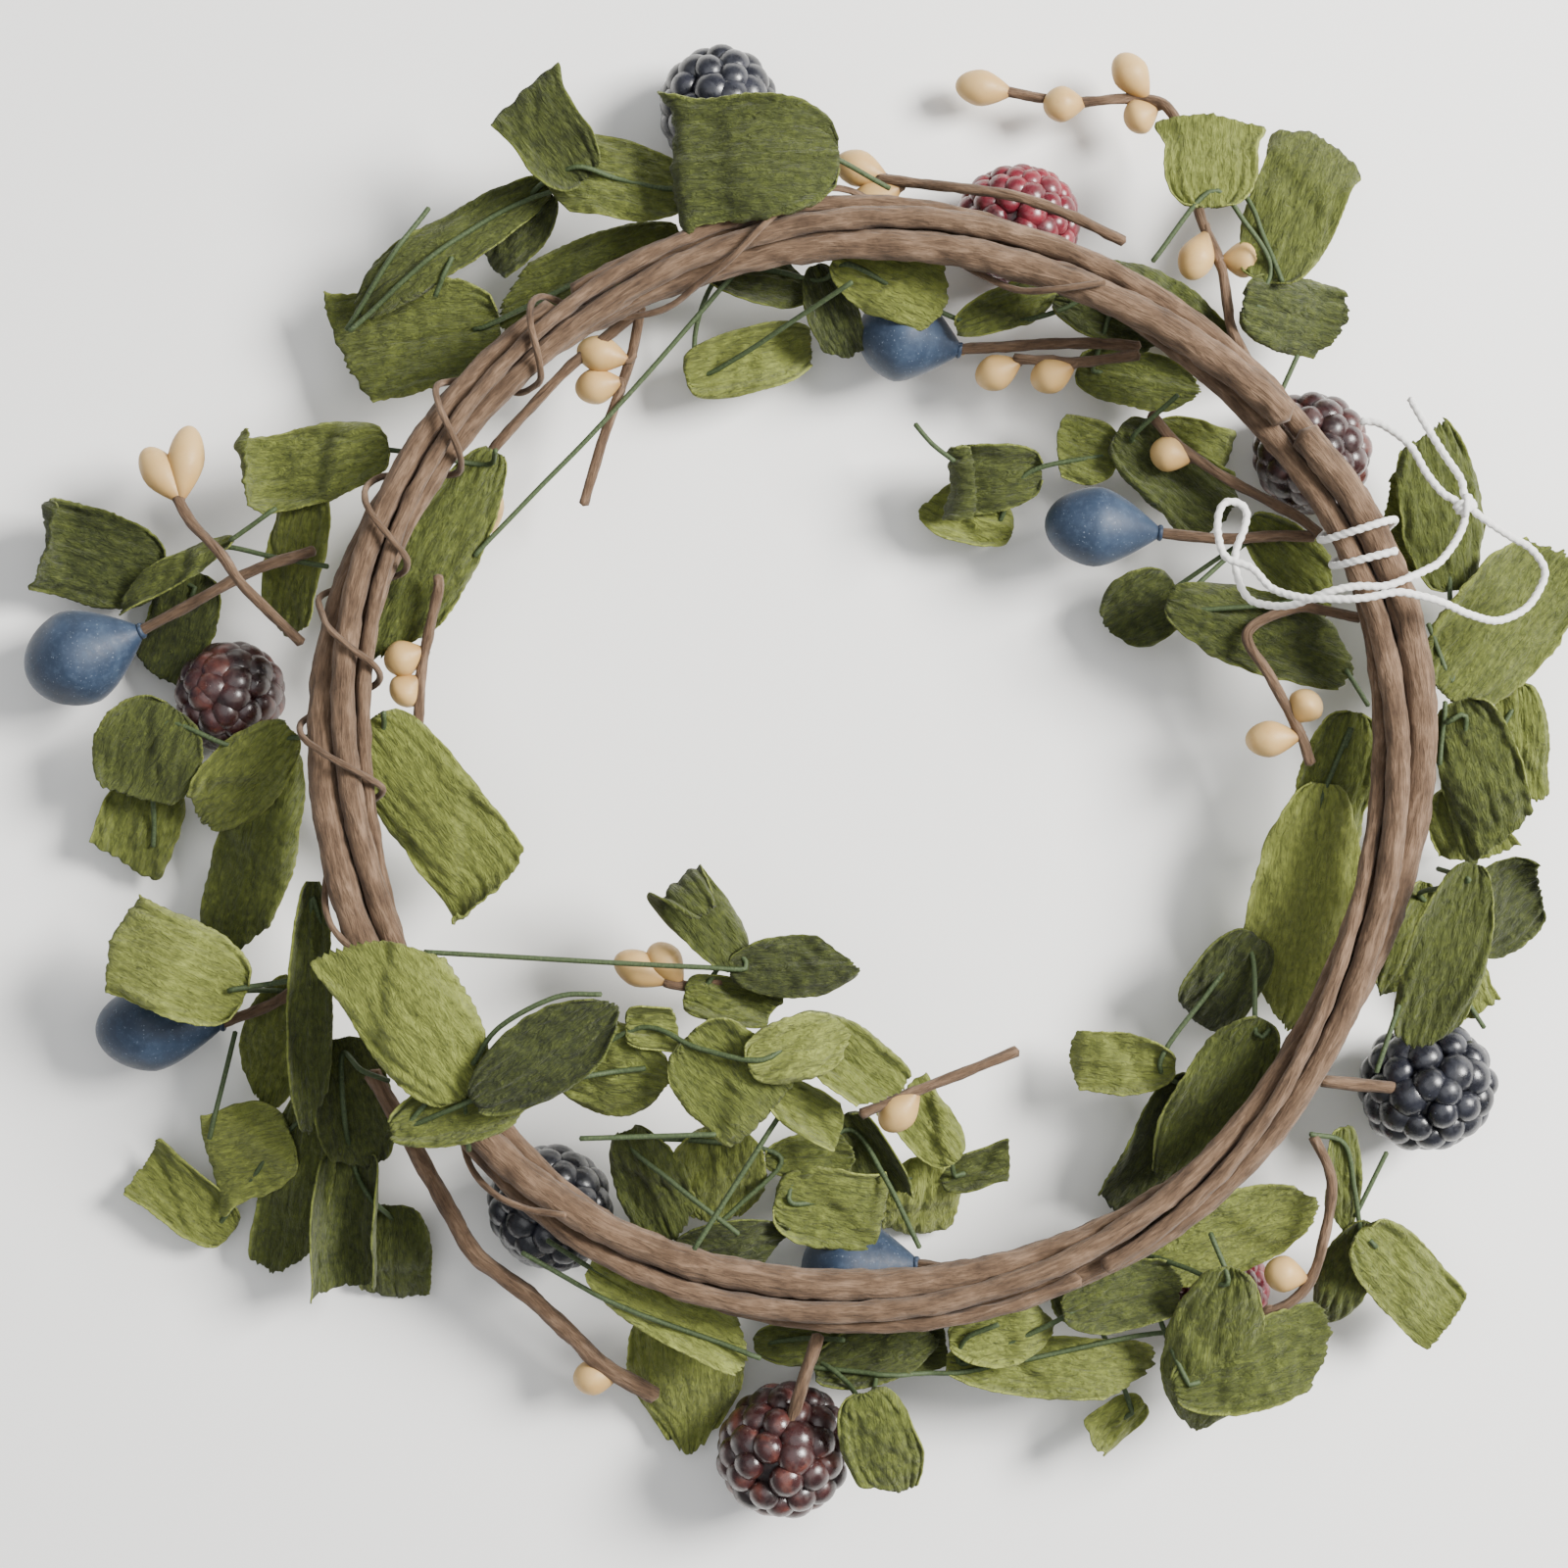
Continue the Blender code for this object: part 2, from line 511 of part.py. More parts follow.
def fuse(meshes):
    """The union of the meshes as one mesh."""
    if len(meshes) == 1:
        return meshes[0]
    first = loose_object(meshes[0])
    others = bpy.data.collections.new("to_join")
    helpers = [bpy.data.objects.new("helper", mesh) for mesh in meshes[1:]]
    for helper in helpers:
        others.objects.link(helper)
    join = first.modifiers.new("join", "BOOLEAN")
    join.operation = "UNION"
    join.solver = "EXACT"
    join.operand_type = "COLLECTION"
    join.collection = others
    join.use_self = True
    mesh = solid_mesh(first)
    for helper in helpers:
        bpy.data.objects.remove(helper, do_unlink=True)
    bpy.data.collections.remove(others)
    return outer_shell(mesh)


class Layout:
    """Adds objects one after another, each lifted or lowered until it clears the others."""

    def __init__(self, collection, materials):
        self.collection = collection
        self.materials = materials
        self.solids = []

    def surface(self, mesh, shift, clearance=0.0):
        """A search tree of the mesh moved by `shift` and swollen by `clearance`."""
        points = [v.co + v.normal * clearance + shift for v in mesh.vertices]
        faces = [list(p.vertices) for p in mesh.polygons]
        return BVHTree.FromPolygons(points, faces)

    def clear_shift(self, mesh, reach, swings=(), others=()):
        """The smallest rise or drop, in whole millimetres, that clears everything placed."""
        solids = self.solids + list(others)
        lowest = min(v.co.z for v in mesh.vertices)
        for step in range(2 * reach + 1):
            drop = (step + 1) // 2 * (1 if step % 2 else -1)
            shift = Vector((0, 0, -drop * MM))
            if lowest + shift.z < TABLE_CLEARANCE * MM:
                continue
            trees = [self.surface(mesh, shift, GAP * 1.3 * MM)]
            trees += [self.surface(self.swung(mesh, shift, swing), Vector()) for swing in swings]
            if not any(tree.overlap(solid) for tree in trees for solid in solids):
                return shift
        return None

    def is_clear(self, mesh):
        """Whether the mesh clears everything placed, where it lies."""
        tree = self.surface(mesh, Vector(), GAP * 1.3 * MM)
        return not any(tree.overlap(solid) for solid in self.solids)

    def swung(self, mesh, shift, swing):
        """A copy of the mesh turned about a hinge."""
        pivot, axis, angle = swing
        copy = mesh.copy()
        copy.transform(Matrix.Translation(shift))
        turn = Matrix.Translation(pivot) @ Matrix.Rotation(math.radians(angle), 4, axis)
        copy.transform(turn @ Matrix.Translation(-pivot))
        return copy

    def add(self, name, mesh, colour, reach=0, swings=(), pivot=None):
        """Place a mesh as a node, moved clear of the earlier ones within `reach` millimetres."""
        shift = (self.clear_shift(mesh, reach, swings) if reach else None) or Vector()
        mesh.transform(Matrix.Translation(shift))
        self.solids.append(self.surface(mesh, Vector()))
        for swing in swings:
            self.solids.append(self.surface(self.swung(mesh, Vector(), swing), Vector()))
        origin = pivot or Vector()
        mesh.transform(Matrix.Translation(-origin))
        mesh.materials.clear()
        mesh.materials.append(self.materials[colour])
        mesh.name = name
        node = bpy.data.objects.new(name, mesh)
        node.location = origin
        self.collection.objects.link(node)
        if shift.length:
            print(name, "moved", round(shift.z / MM))
        return node


def bundle_frame(angle):
    """Centre of the ring's bundle at an angle, and its outward direction."""
    turn = math.radians(angle)
    out = Vector((math.cos(turn), math.sin(turn), 0))
    wobble = RING_WOBBLE * (0.6 * math.sin(3 * turn + 0.5) + 0.4 * math.sin(5 * turn))
    height = RING_HEIGHT + 0.8 * math.sin(2 * turn + 1)
    return (out * (RING_RADIUS + wobble) + Vector((0, 0, height))) * MM, out


def on_bundle(angle, distance, around):
    """A point beside the bundle: `distance` mm from its centre, `around` degrees about it."""
    centre, out = bundle_frame(angle)
    lean = math.radians(around)
    return centre + (out * math.cos(lean) + Vector((0, 0, math.sin(lean)))) * distance * MM


def bundle_twist(angle):
    return BUNDLE_TWISTS * angle


def hug(angle, around, radius):
    """How far from the bundle's centre a thread of `radius` mm sits when wound round it."""
    furthest = 0.0
    for _name, thick, distance, phase in STRANDS:
        lean = math.radians(around - phase - bundle_twist(angle))
        reach = thick + radius + GAP
        offset = distance * math.sin(lean)
        if abs(offset) < reach:
            far = distance * math.cos(lean) + math.sqrt(reach ** 2 - offset ** 2)
            furthest = max(furthest, far)
    return furthest


def wound(start, end, turns, radius, phase, step=40):
    """Points of a thread wound round the bundle from one ring angle to another."""
    count = max(2, round(360 * turns / step))
    points = []
    for i in range(count + 1):
        angle = start + (end - start) * i / count
        around = phase + 360 * turns * i / count
        distance = max(hug(angle, around + d, radius) * math.cos(math.radians(d))
                       for d in (-24, -12, 0, 12, 24))
        points.append(on_bundle(angle, distance + 0.6, around))
    return points


def add_ring(layout):
    """The twisted strands, each open at a different place round the ring."""
    for index, (name, thick, distance, phase) in enumerate(STRANDS):
        start = 40 + 85 * index
        points = []
        for i in range(RING_SEGMENTS + 1):
            angle = start + 357.0 * i / RING_SEGMENTS
            around = phase + bundle_twist(angle)
            points.append(on_bundle(angle, distance, around))
        resolution = 1
        layout.add(name, tube(points, thick, resolution), "bark")


def add_tendril(layout):
    """The thin tendril that binds the strands on the left side."""
    points = []
    phase = 90
    for start, end, turns in TENDRIL_STRETCHES:
        stretch = wound(start, end, turns, TENDRIL_RADIUS, phase)
        points += stretch[1:] if points else stretch
        phase += 360 * turns
    layout.add("tendril_wrap", tube(points, TENDRIL_RADIUS), "bark")


def add_string(layout):
    """The tie round the ring, the hanging loop with its two bare ends, and its knot."""
    half = TIE_TURNS * TIE_PITCH / 2
    turns = wound(TIE_ANGLE - half, TIE_ANGLE + half, TIE_TURNS, STRING_RADIUS, 60, 36)
    layout.add("hanger_tie", tube(turns, STRING_RADIUS, 1), "string")
    lean = math.radians(KNOT_LEAN)
    ahead = Vector((math.cos(lean), math.sin(lean), 0)) * 1.6 * MM
    aside = Vector((-math.sin(lean), math.cos(lean), 0)) * KNOT_HALF_GAP * MM
    knot = place(KNOT_PLACE)
    points = [place(spot) for spot in FIRST_TAIL]
    points += [knot + aside - ahead, knot + aside + ahead]
    points += [place(spot) for spot in LOOP]
    points += [knot - aside + ahead, knot - aside - ahead]
    points += [place(spot) for spot in SECOND_TAIL]
    layout.add("hanger_string", tube(smooth_route(points, 0.0046), STRING_RADIUS, 2), "string")
    wide = KNOT_HALF_GAP + STRING_RADIUS + GAP + KNOT_RADIUS
    tall = STRING_RADIUS + GAP + KNOT_RADIUS
    turn = []
    for i in range(12):
        swing = math.tau * i / 12
        rise = Vector((0, 0, tall * math.sin(swing) * MM))
        turn.append(knot + aside.normalized() * wide * math.cos(swing) * MM + rise)
    layout.add("hanger_knot", tube(turn, KNOT_RADIUS, 1, closed=True), "string")


def bend_of(name, outward):
    """The hinge of a bendable stem: its pivot, its level axis and the swings it must clear."""
    spot, down, up = HINGES[name]
    pivot = place(spot)
    level = Vector((outward.x - pivot.x, outward.y - pivot.y, 0)).normalized()
    axis = level.cross(Vector((0, 0, 1)))
    swings = [(pivot, axis, angle) for angle in (down, up / 2, up)]
    return pivot, swings


def add_stemmed(layout, name, mesh, colour, outward, reach):
    """Add a piece on a stem, with room for its bend if it has one."""
    if name in HINGES:
        pivot, swings = bend_of(name, outward)
        layout.add(name, mesh, colour, reach, swings, pivot)
    else:
        layout.add(name, mesh, colour, reach)


def add_berries(layout):
    """Bramble and raspberry clusters, resting on the table under and beside the ring."""
    for name, (angle, out), radius, lift, colour, stem in BERRIES:
        centre = place((angle, out, radius + lift))
        shapes = [ball(centre, radius)]
        if stem:
            path = [centre + Vector((0, 0, 0.5 * radius * MM))] + [place(spot) for spot in stem]
            shapes.append(tube(smooth_route(path, 0.006), STEM_RADIUS))
        add_stemmed(layout, name, fuse(shapes), colour, centre, 0)


def add_drops(layout):
    """Blue drops: a ball drawn out to a tip, with the stem running on to the ring."""
    for name, centre, tip, stem, radius in DROPS:
        middle, point = place(centre), place(tip)
        back = middle + (middle - point).normalized() * radius * MM
        shape = teardrop(point, back, radius, 8, 6, 0.8)
        path = [middle, point] + [place(spot) for spot in stem]
        stalk = tube(smooth_route(path, 0.006), STEM_RADIUS)
        add_stemmed(layout, name, fuse([shape, stalk]), "blue", middle, 12)


def twig(stems, pips, radius):
    """Crepe-wrapped stems with their pips, as one mesh."""
    routes = [smooth_route([place(spot) for spot in stem], 0.008) for stem in stems]
    shapes = [tube(route, radius) for route in routes]
    joints = [point for route in routes for point in route]
    for root, tip in pips:
        start, end = place(root), place(tip)
        nearest = min(joints, key=lambda point: (point - start).length)
        middle = (start + end) / 2
        shapes.append(teardrop(start, end, 3.6))
        shapes.append(tube([nearest, middle], 0.6))
    return fuse(shapes)


def add_twigs(layout):
    """The pip twigs and the strand that has sprung loose."""
    name, stems, pips = LOOSE_STRAND
    layout.add(name, twig(stems, pips, 1.5), "bark", 15)
    for name, stems, pips in TWIGS:
        add_stemmed(layout, name, twig(stems, pips, TWIG_RADIUS), "bark", place(pips[0][1]), 20)


def clear_wire(layout, path):
    """A spray's wire, dipped or raised between its leaves to pass what was placed before."""
    for dip in (0, -3, 3, -6, 6, -9, 9, -12, 12, -16, 16):
        route = [path[0]]
        for here, ahead in zip(path, path[1:]):
            if dip and (ahead - here).length > 0.006:
                route.append((here + ahead) / 2 + Vector((0, 0, dip * MM)))
            route.append(ahead)
        wire = tube(smooth_route(route, 0.012), WIRE_RADIUS)
        if layout.is_clear(wire):
            break
    return wire


def add_sprays(layout):
    """Paper leaves on green wire, each spray one piece."""
    for index, (name, root, rows) in enumerate(SPRAYS):
        path = [place(root)]
        shapes = []
        neighbours = []
        for serial, (base, tip, width, cup, curl, blunt) in enumerate(rows):
            start, end = place(base), place(tip)
            sheet = leaf(start, end, width, cup, curl, blunt, 10 * index + serial)
            shift = layout.clear_shift(sheet, 5, others=neighbours)
            if shift is None:
                shift = layout.clear_shift(sheet, 30) or Vector()
            sheet.transform(Matrix.Translation(shift))
            surface = layout.surface(sheet, Vector())
            neighbours.append(surface)
            shapes.append(sheet)
            inside = start + shift + (end - start).normalized() * 0.003
            path.append(surface.find_nearest(inside)[0])
        path.append(path[-1] + (end - start).normalized() * 0.002)
        wire = clear_wire(layout, path)
        colour = "pale_leaf" if index % 2 else "olive_leaf"
        layout.add(name, fuse([wire] + shapes), colour, 40)


def stand(parts):
    """Stand the wreath on the table with the middle of its box at the origin."""
    bpy.context.view_layer.update()
    corners = [item.matrix_world @ vert.co for item in parts.objects
               if item.name not in ("hanger_string", "hanger_knot")
               for vert in item.data.vertices]
    low = Vector([min(c[i] for c in corners) for i in range(3)])
    high = Vector([max(c[i] for c in corners) for i in range(3)])
    middle = Vector(((low.x + high.x) / 2, (low.y + high.y) / 2, low.z))
    for item in parts.objects:
        item.location -= middle


def main():
    clear_scene()
    materials = make_materials()
    parts = bpy.data.collections.new("harvest_wreath")
    bpy.context.scene.collection.children.link(parts)
    layout = Layout(parts, materials)
    add_ring(layout)
    add_tendril(layout)
    add_string(layout)
    add_berries(layout)
    add_drops(layout)
    add_twigs(layout)
    add_sprays(layout)
    stand(parts)


if __name__ == "__main__":
    main()
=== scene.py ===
"""Looks of a harvest door wreath that lies face down, its twisted ring and string uppermost.

The tables repeat the layout that the solids were built from: an angle round the ring in
degrees, a distance out from the ring's centre line and a height, both in millimetres. Each
leaf, twig and drop is found again in its solid, then made at full detail there.
"""
import json
import math

import bpy
import numpy as np
from mathutils import Matrix, Vector
from mathutils.bvhtree import BVHTree
from mathutils.kdtree import KDTree


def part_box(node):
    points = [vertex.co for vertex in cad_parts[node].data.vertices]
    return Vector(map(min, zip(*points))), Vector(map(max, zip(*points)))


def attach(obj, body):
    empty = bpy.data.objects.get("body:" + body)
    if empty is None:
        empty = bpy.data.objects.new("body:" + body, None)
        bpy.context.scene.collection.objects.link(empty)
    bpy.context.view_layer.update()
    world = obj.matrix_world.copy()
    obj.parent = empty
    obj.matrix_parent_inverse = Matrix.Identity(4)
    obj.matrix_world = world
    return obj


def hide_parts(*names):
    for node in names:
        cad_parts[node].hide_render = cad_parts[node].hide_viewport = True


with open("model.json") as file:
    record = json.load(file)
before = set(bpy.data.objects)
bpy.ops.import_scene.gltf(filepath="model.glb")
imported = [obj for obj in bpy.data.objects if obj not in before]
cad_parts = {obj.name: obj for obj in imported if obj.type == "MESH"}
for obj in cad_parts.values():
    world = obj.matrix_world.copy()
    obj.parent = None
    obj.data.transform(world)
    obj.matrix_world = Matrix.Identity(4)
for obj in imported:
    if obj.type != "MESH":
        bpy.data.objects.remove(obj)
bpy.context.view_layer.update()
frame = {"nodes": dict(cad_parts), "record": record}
ROOT = "wreath"
MOVING = {node: body for body, nodes in frame["record"]["behaviour"]["bodies"].items()
          for node in nodes if body != ROOT}

# Driving dimensions, in millimetres; MM turns them into metres
MM = 0.001
RING_RADIUS = 100.0
RING_HEIGHT = 34.0
RING_WOBBLE = 1.6
BUNDLE_TWISTS = 2
WIRE_RADIUS = 0.6
LOOSE_WIRE_RADIUS = 0.5
TWIG_RADIUS = 0.9
STEM_RADIUS = 1.0
TENDRIL_RADIUS = 0.75
STRING_RADIUS = 0.75
WINDING_GAP = 0.3
ROLL_RADIUS = 4.5
PIP_RADIUS = 3.6
LOOSE_STRAND_RADIUS = 1.5
PIP_TAPER, SOLID_PIP_TAPER = 0.62, 0.7
DROP_TAPER, SOLID_DROP_TAPER = 0.66, 0.8
LEAF_HALF_THICKNESS = 0.17

# How far up or down, in millimetres, each kind of raised solid is looked for
DROP_REACH = 14
TWIG_REACH = 22
LEAF_REACH = 45
WIRE_REACH = 40

# How thick each piece is drawn beside its solid
STRAND_SHARE = 1.06
TENDRIL_SHARE = 0.85
LEAF_WIRE_SHARE = 0.85
BERRY_STEM_SHARE = 1.25
DROP_STEM_SHARE = 1.08
TWIG_SHARE = 1.12

# The strands of the ring: name, radius, distance from the bundle's centre, phase in degrees
STRANDS = [
    ("ring_strand_thick", 2.75, 2.5, 0),
    ("ring_strand_second", 2.1, 3.5, 130),
    ("ring_strand_third", 1.9, 3.5, 235),
    ("ring_strand_thin", 1.3, 5.2, 183),
]

# The thin tendril: where along the ring it winds, and how many turns it makes there
TENDRIL_STRETCHES = [(64, 122, 1.5), (122, 186, 5.0), (186, 236, 1.5)]
TIE_ANGLE = 24.7
TIE_TURNS = 1.7
TIE_PITCH = 3.2

# The hanging string: one bare end to the knot, round the loop, and from the knot to the other end
FIRST_TAIL = [(34, 22, 34), (31.5, 21.5, 35), (28, 21.5, 36.5), (25.6, 22, 37)]
LOOP = [
    (21.3, 23.5, 37), (19.5, 26.5, 36.5), (18, 29.5, 36), (16, 31, 35.5), (14.5, 29, 35.5),
    (13.2, 25, 37), (12.8, 19, 39.5), (14, 13.5, 42.5), (16, 8, 45.4), (18, 1, 46.6),
    (18.5, -5, 46.6), (19.5, -10, 45.4), (21, -15, 43), (23.5, -19, 40.5), (27, -20.5, 39),
    (30, -23.5, 37.6), (33, -22.5, 36), (35.5, -20, 35.2), (36.2, -17.5, 34.8),
    (35, -15.5, 34.6), (33.5, -15.5, 34.6), (32, -17.5, 34.6), (30, -21, 34.6), (27, -23, 35),
    (23.5, -23, 36), (21.5, -20, 37), (20.5, -16, 38.8), (20.5, -10, 42), (20, -5, 43.4),
    (19, 0, 43.6), (19, 5, 43), (19.5, 12, 40), (21, 17, 37.8),
]
SECOND_TAIL = [(25.2, 18, 36.5), (27.5, 17, 36), (30.5, 17, 35), (33.5, 15, 33), (34.8, 12.5, 32)]
KNOT_PLACE = (23.4, 20.6, 37)
KNOT_LEAN = 302.0
KNOT_HALF_GAP = 0.95

# Balls of drupelets: name, angle and distance out, radius, lift off the table, colour, stem
BERRIES = [
    ("bramble_top", (102.5, 30), 12.5, 0, "black", []),
    ("raspberry_top", (74.5, 9), 12.5, 0, "red", []),
    ("bramble_upper_right", (35, 5), 12.2, 0, "plum", []),
    ("bramble_right", (330, 25), 13.6, 2, "black", [(327.5, 14, 25), (325, 5, 25.5)]),
    ("raspberry_lower_right", (304, 22), 11.0, 0, "red", []),
    ("bramble_bottom", (263, 33), 13.6, 2, "plum", [(264, 18, 25), (265, 9, 25.5)]),
    ("bramble_lower_left", (234.5, 6), 12.8, 0, "black", []),
    ("bramble_left", (174, 24), 11.2, 0, "plum", []),
]

# Blue drops: name, centre of the round end, tip, stem onwards from the tip, radius
DROPS = [
    ("blue_drop_top", (85, -17, 14), (77, -18, 14),
     [(71, -15, 17), (63.5, -10, 20), (57, -5, 22)], 9.0),
    ("blue_drop_upper_right", (47.5, -38, 18), (38, -28, 18),
     [(32.5, -20, 21), (29.5, -12, 23), (27, -5, 25)], 7.8),
    ("blue_drop_left", (172.5, 55, 13), (169.5, 42, 15),
     [(166.5, 33, 18), (162.5, 23, 21), (159, 13, 24)], 9.6),
    ("blue_drop_lower_left", (200, 50, 12), (202, 34, 13),
     [(202, 24, 16), (201, 14, 20), (200, 8, 24)], 8.6),
    ("blue_drop_bottom", (268.5, -2, 12), (276, -3, 16),
     [(279, -2, 20), (281, -1, 24)], 10.2),
]

# Twigs wrapped in brown crepe, with cream pips: name, stems, pips as (root, tip)
TWIGS = [
    ("twig_top_right",
     [[(40.5, 2, 25), (44.5, 4, 24), (50.5, 9, 20), (54.5, 17, 18), (58.5, 23, 16),
       (62, 33, 14), (65.5, 40, 12), (68.5, 39, 10), (72.5, 35, 9), (78.5, 34, 8)]],
     [((77.5, 34, 8), (82.5, 34, 7)), ((71.5, 35.5, 9), (75, 33, 9)),
      ((67, 40, 11), (70.5, 46, 11)), ((66, 39.5, 11), (68, 34.5, 9)),
      ((57.5, 21.5, 17), (56.5, 11.5, 18)), ((55, 18, 18), (52, 23, 17))]),
    ("twig_top",
     [[(64, 9, 31), (70, 9.5, 31), (75, 10, 30.5), (80, 10, 28), (84, 10.5, 24), (89, 12, 20)]],
     [((88, 12, 20), (93, 16, 17)), ((86.5, 10.5, 21), (92, 6, 17))]),
    ("twig_top_inner",
     [[(56.5, -7, 24), (62, -13, 20), (70, -17, 16)]],
     [((69, -17, 16), (74, -23, 13)), ((62.5, -14, 20), (66.5, -20, 15))]),
    ("twig_upper_right",
     [[(27, -4, 26), (30, -6, 25), (39, -13, 23), (45.5, -15, 22), (51, -14, 21)]],
     [((43, -15, 22), (48, -19, 20))]),
    ("twig_right_inner",
     [[(16.5, -3, 26), (20, -14, 25), (19, -24, 25), (12, -22, 25), (4.5, -18, 24),
       (0, -16, 24)]],
     [((3.5, -17.5, 24), (3.5, -28, 22)), ((5.5, -19, 24), (9, -14, 24))]),
    ("twig_lower_right",
     [[(320, 10, 26), (318, 18, 26), (313.5, 25, 26), (310.5, 29, 25), (308, 30, 24),
       (305.5, 29, 22)]],
     [((310.5, 28.5, 25), (308, 22, 25)), ((306.5, 29, 23), (306, 39, 20))]),
    ("twig_left_outer",
     [[(168, 9, 31), (164, 23, 29), (162, 29, 27), (160.5, 36, 24), (159, 41, 22)]],
     [((159.2, 40, 22), (156.5, 51, 19)), ((159.2, 40, 22), (153.5, 45, 19))]),
    ("twig_inner_upper_left",
     [[(116.5, -3, 25), (119.5, -9, 22), (123.5, -14, 20), (128.5, -19, 19), (137.5, -26, 18)],
      [(117, -3.5, 24.6), (126, -5, 22), (134, -6, 20), (140, -6, 18), (143, -7, 17)]],
     [((120.5, -10.5, 22), (125, -3, 21)), ((122.5, -13, 21), (128, -9, 19)),
      ((142, -7, 17.4), (149, -14, 15))]),
    ("twig_left_inner",
     [[(156.5, -11, 25), (158, -12, 24), (167, -13, 22), (177, -14, 22)]],
     [((165.5, -13, 22), (168.5, -6, 21)), ((169, -13, 22), (172.5, -9, 20))]),
    ("twig_centre",
     [[(297, -40, 40), (279.5, -39, 41), (268.5, -35, 41)]],
     [((278.5, -39, 41), (272, -32, 39))]),
    ("twig_inner_pips",
     [[(236, -50, 21), (232, -46, 21), (227, -43, 21)]],
     [((228, -43.5, 21), (217.5, -39, 19)), ((230, -45, 21), (220, -46, 19))]),
]

# A strand that has sprung loose from the ring, with a pip on it
LOOSE_STRAND = ("ring_strand_loose",
                [[(212, 11, 26), (220, 13, 25), (227, 17, 23), (231, 20, 22), (237.5, 21, 20),
                  (243, 24, 18), (246.5, 27, 16), (251.5, 29, 14)]],
                [((248, 27.5, 15), (244.5, 32, 14))])

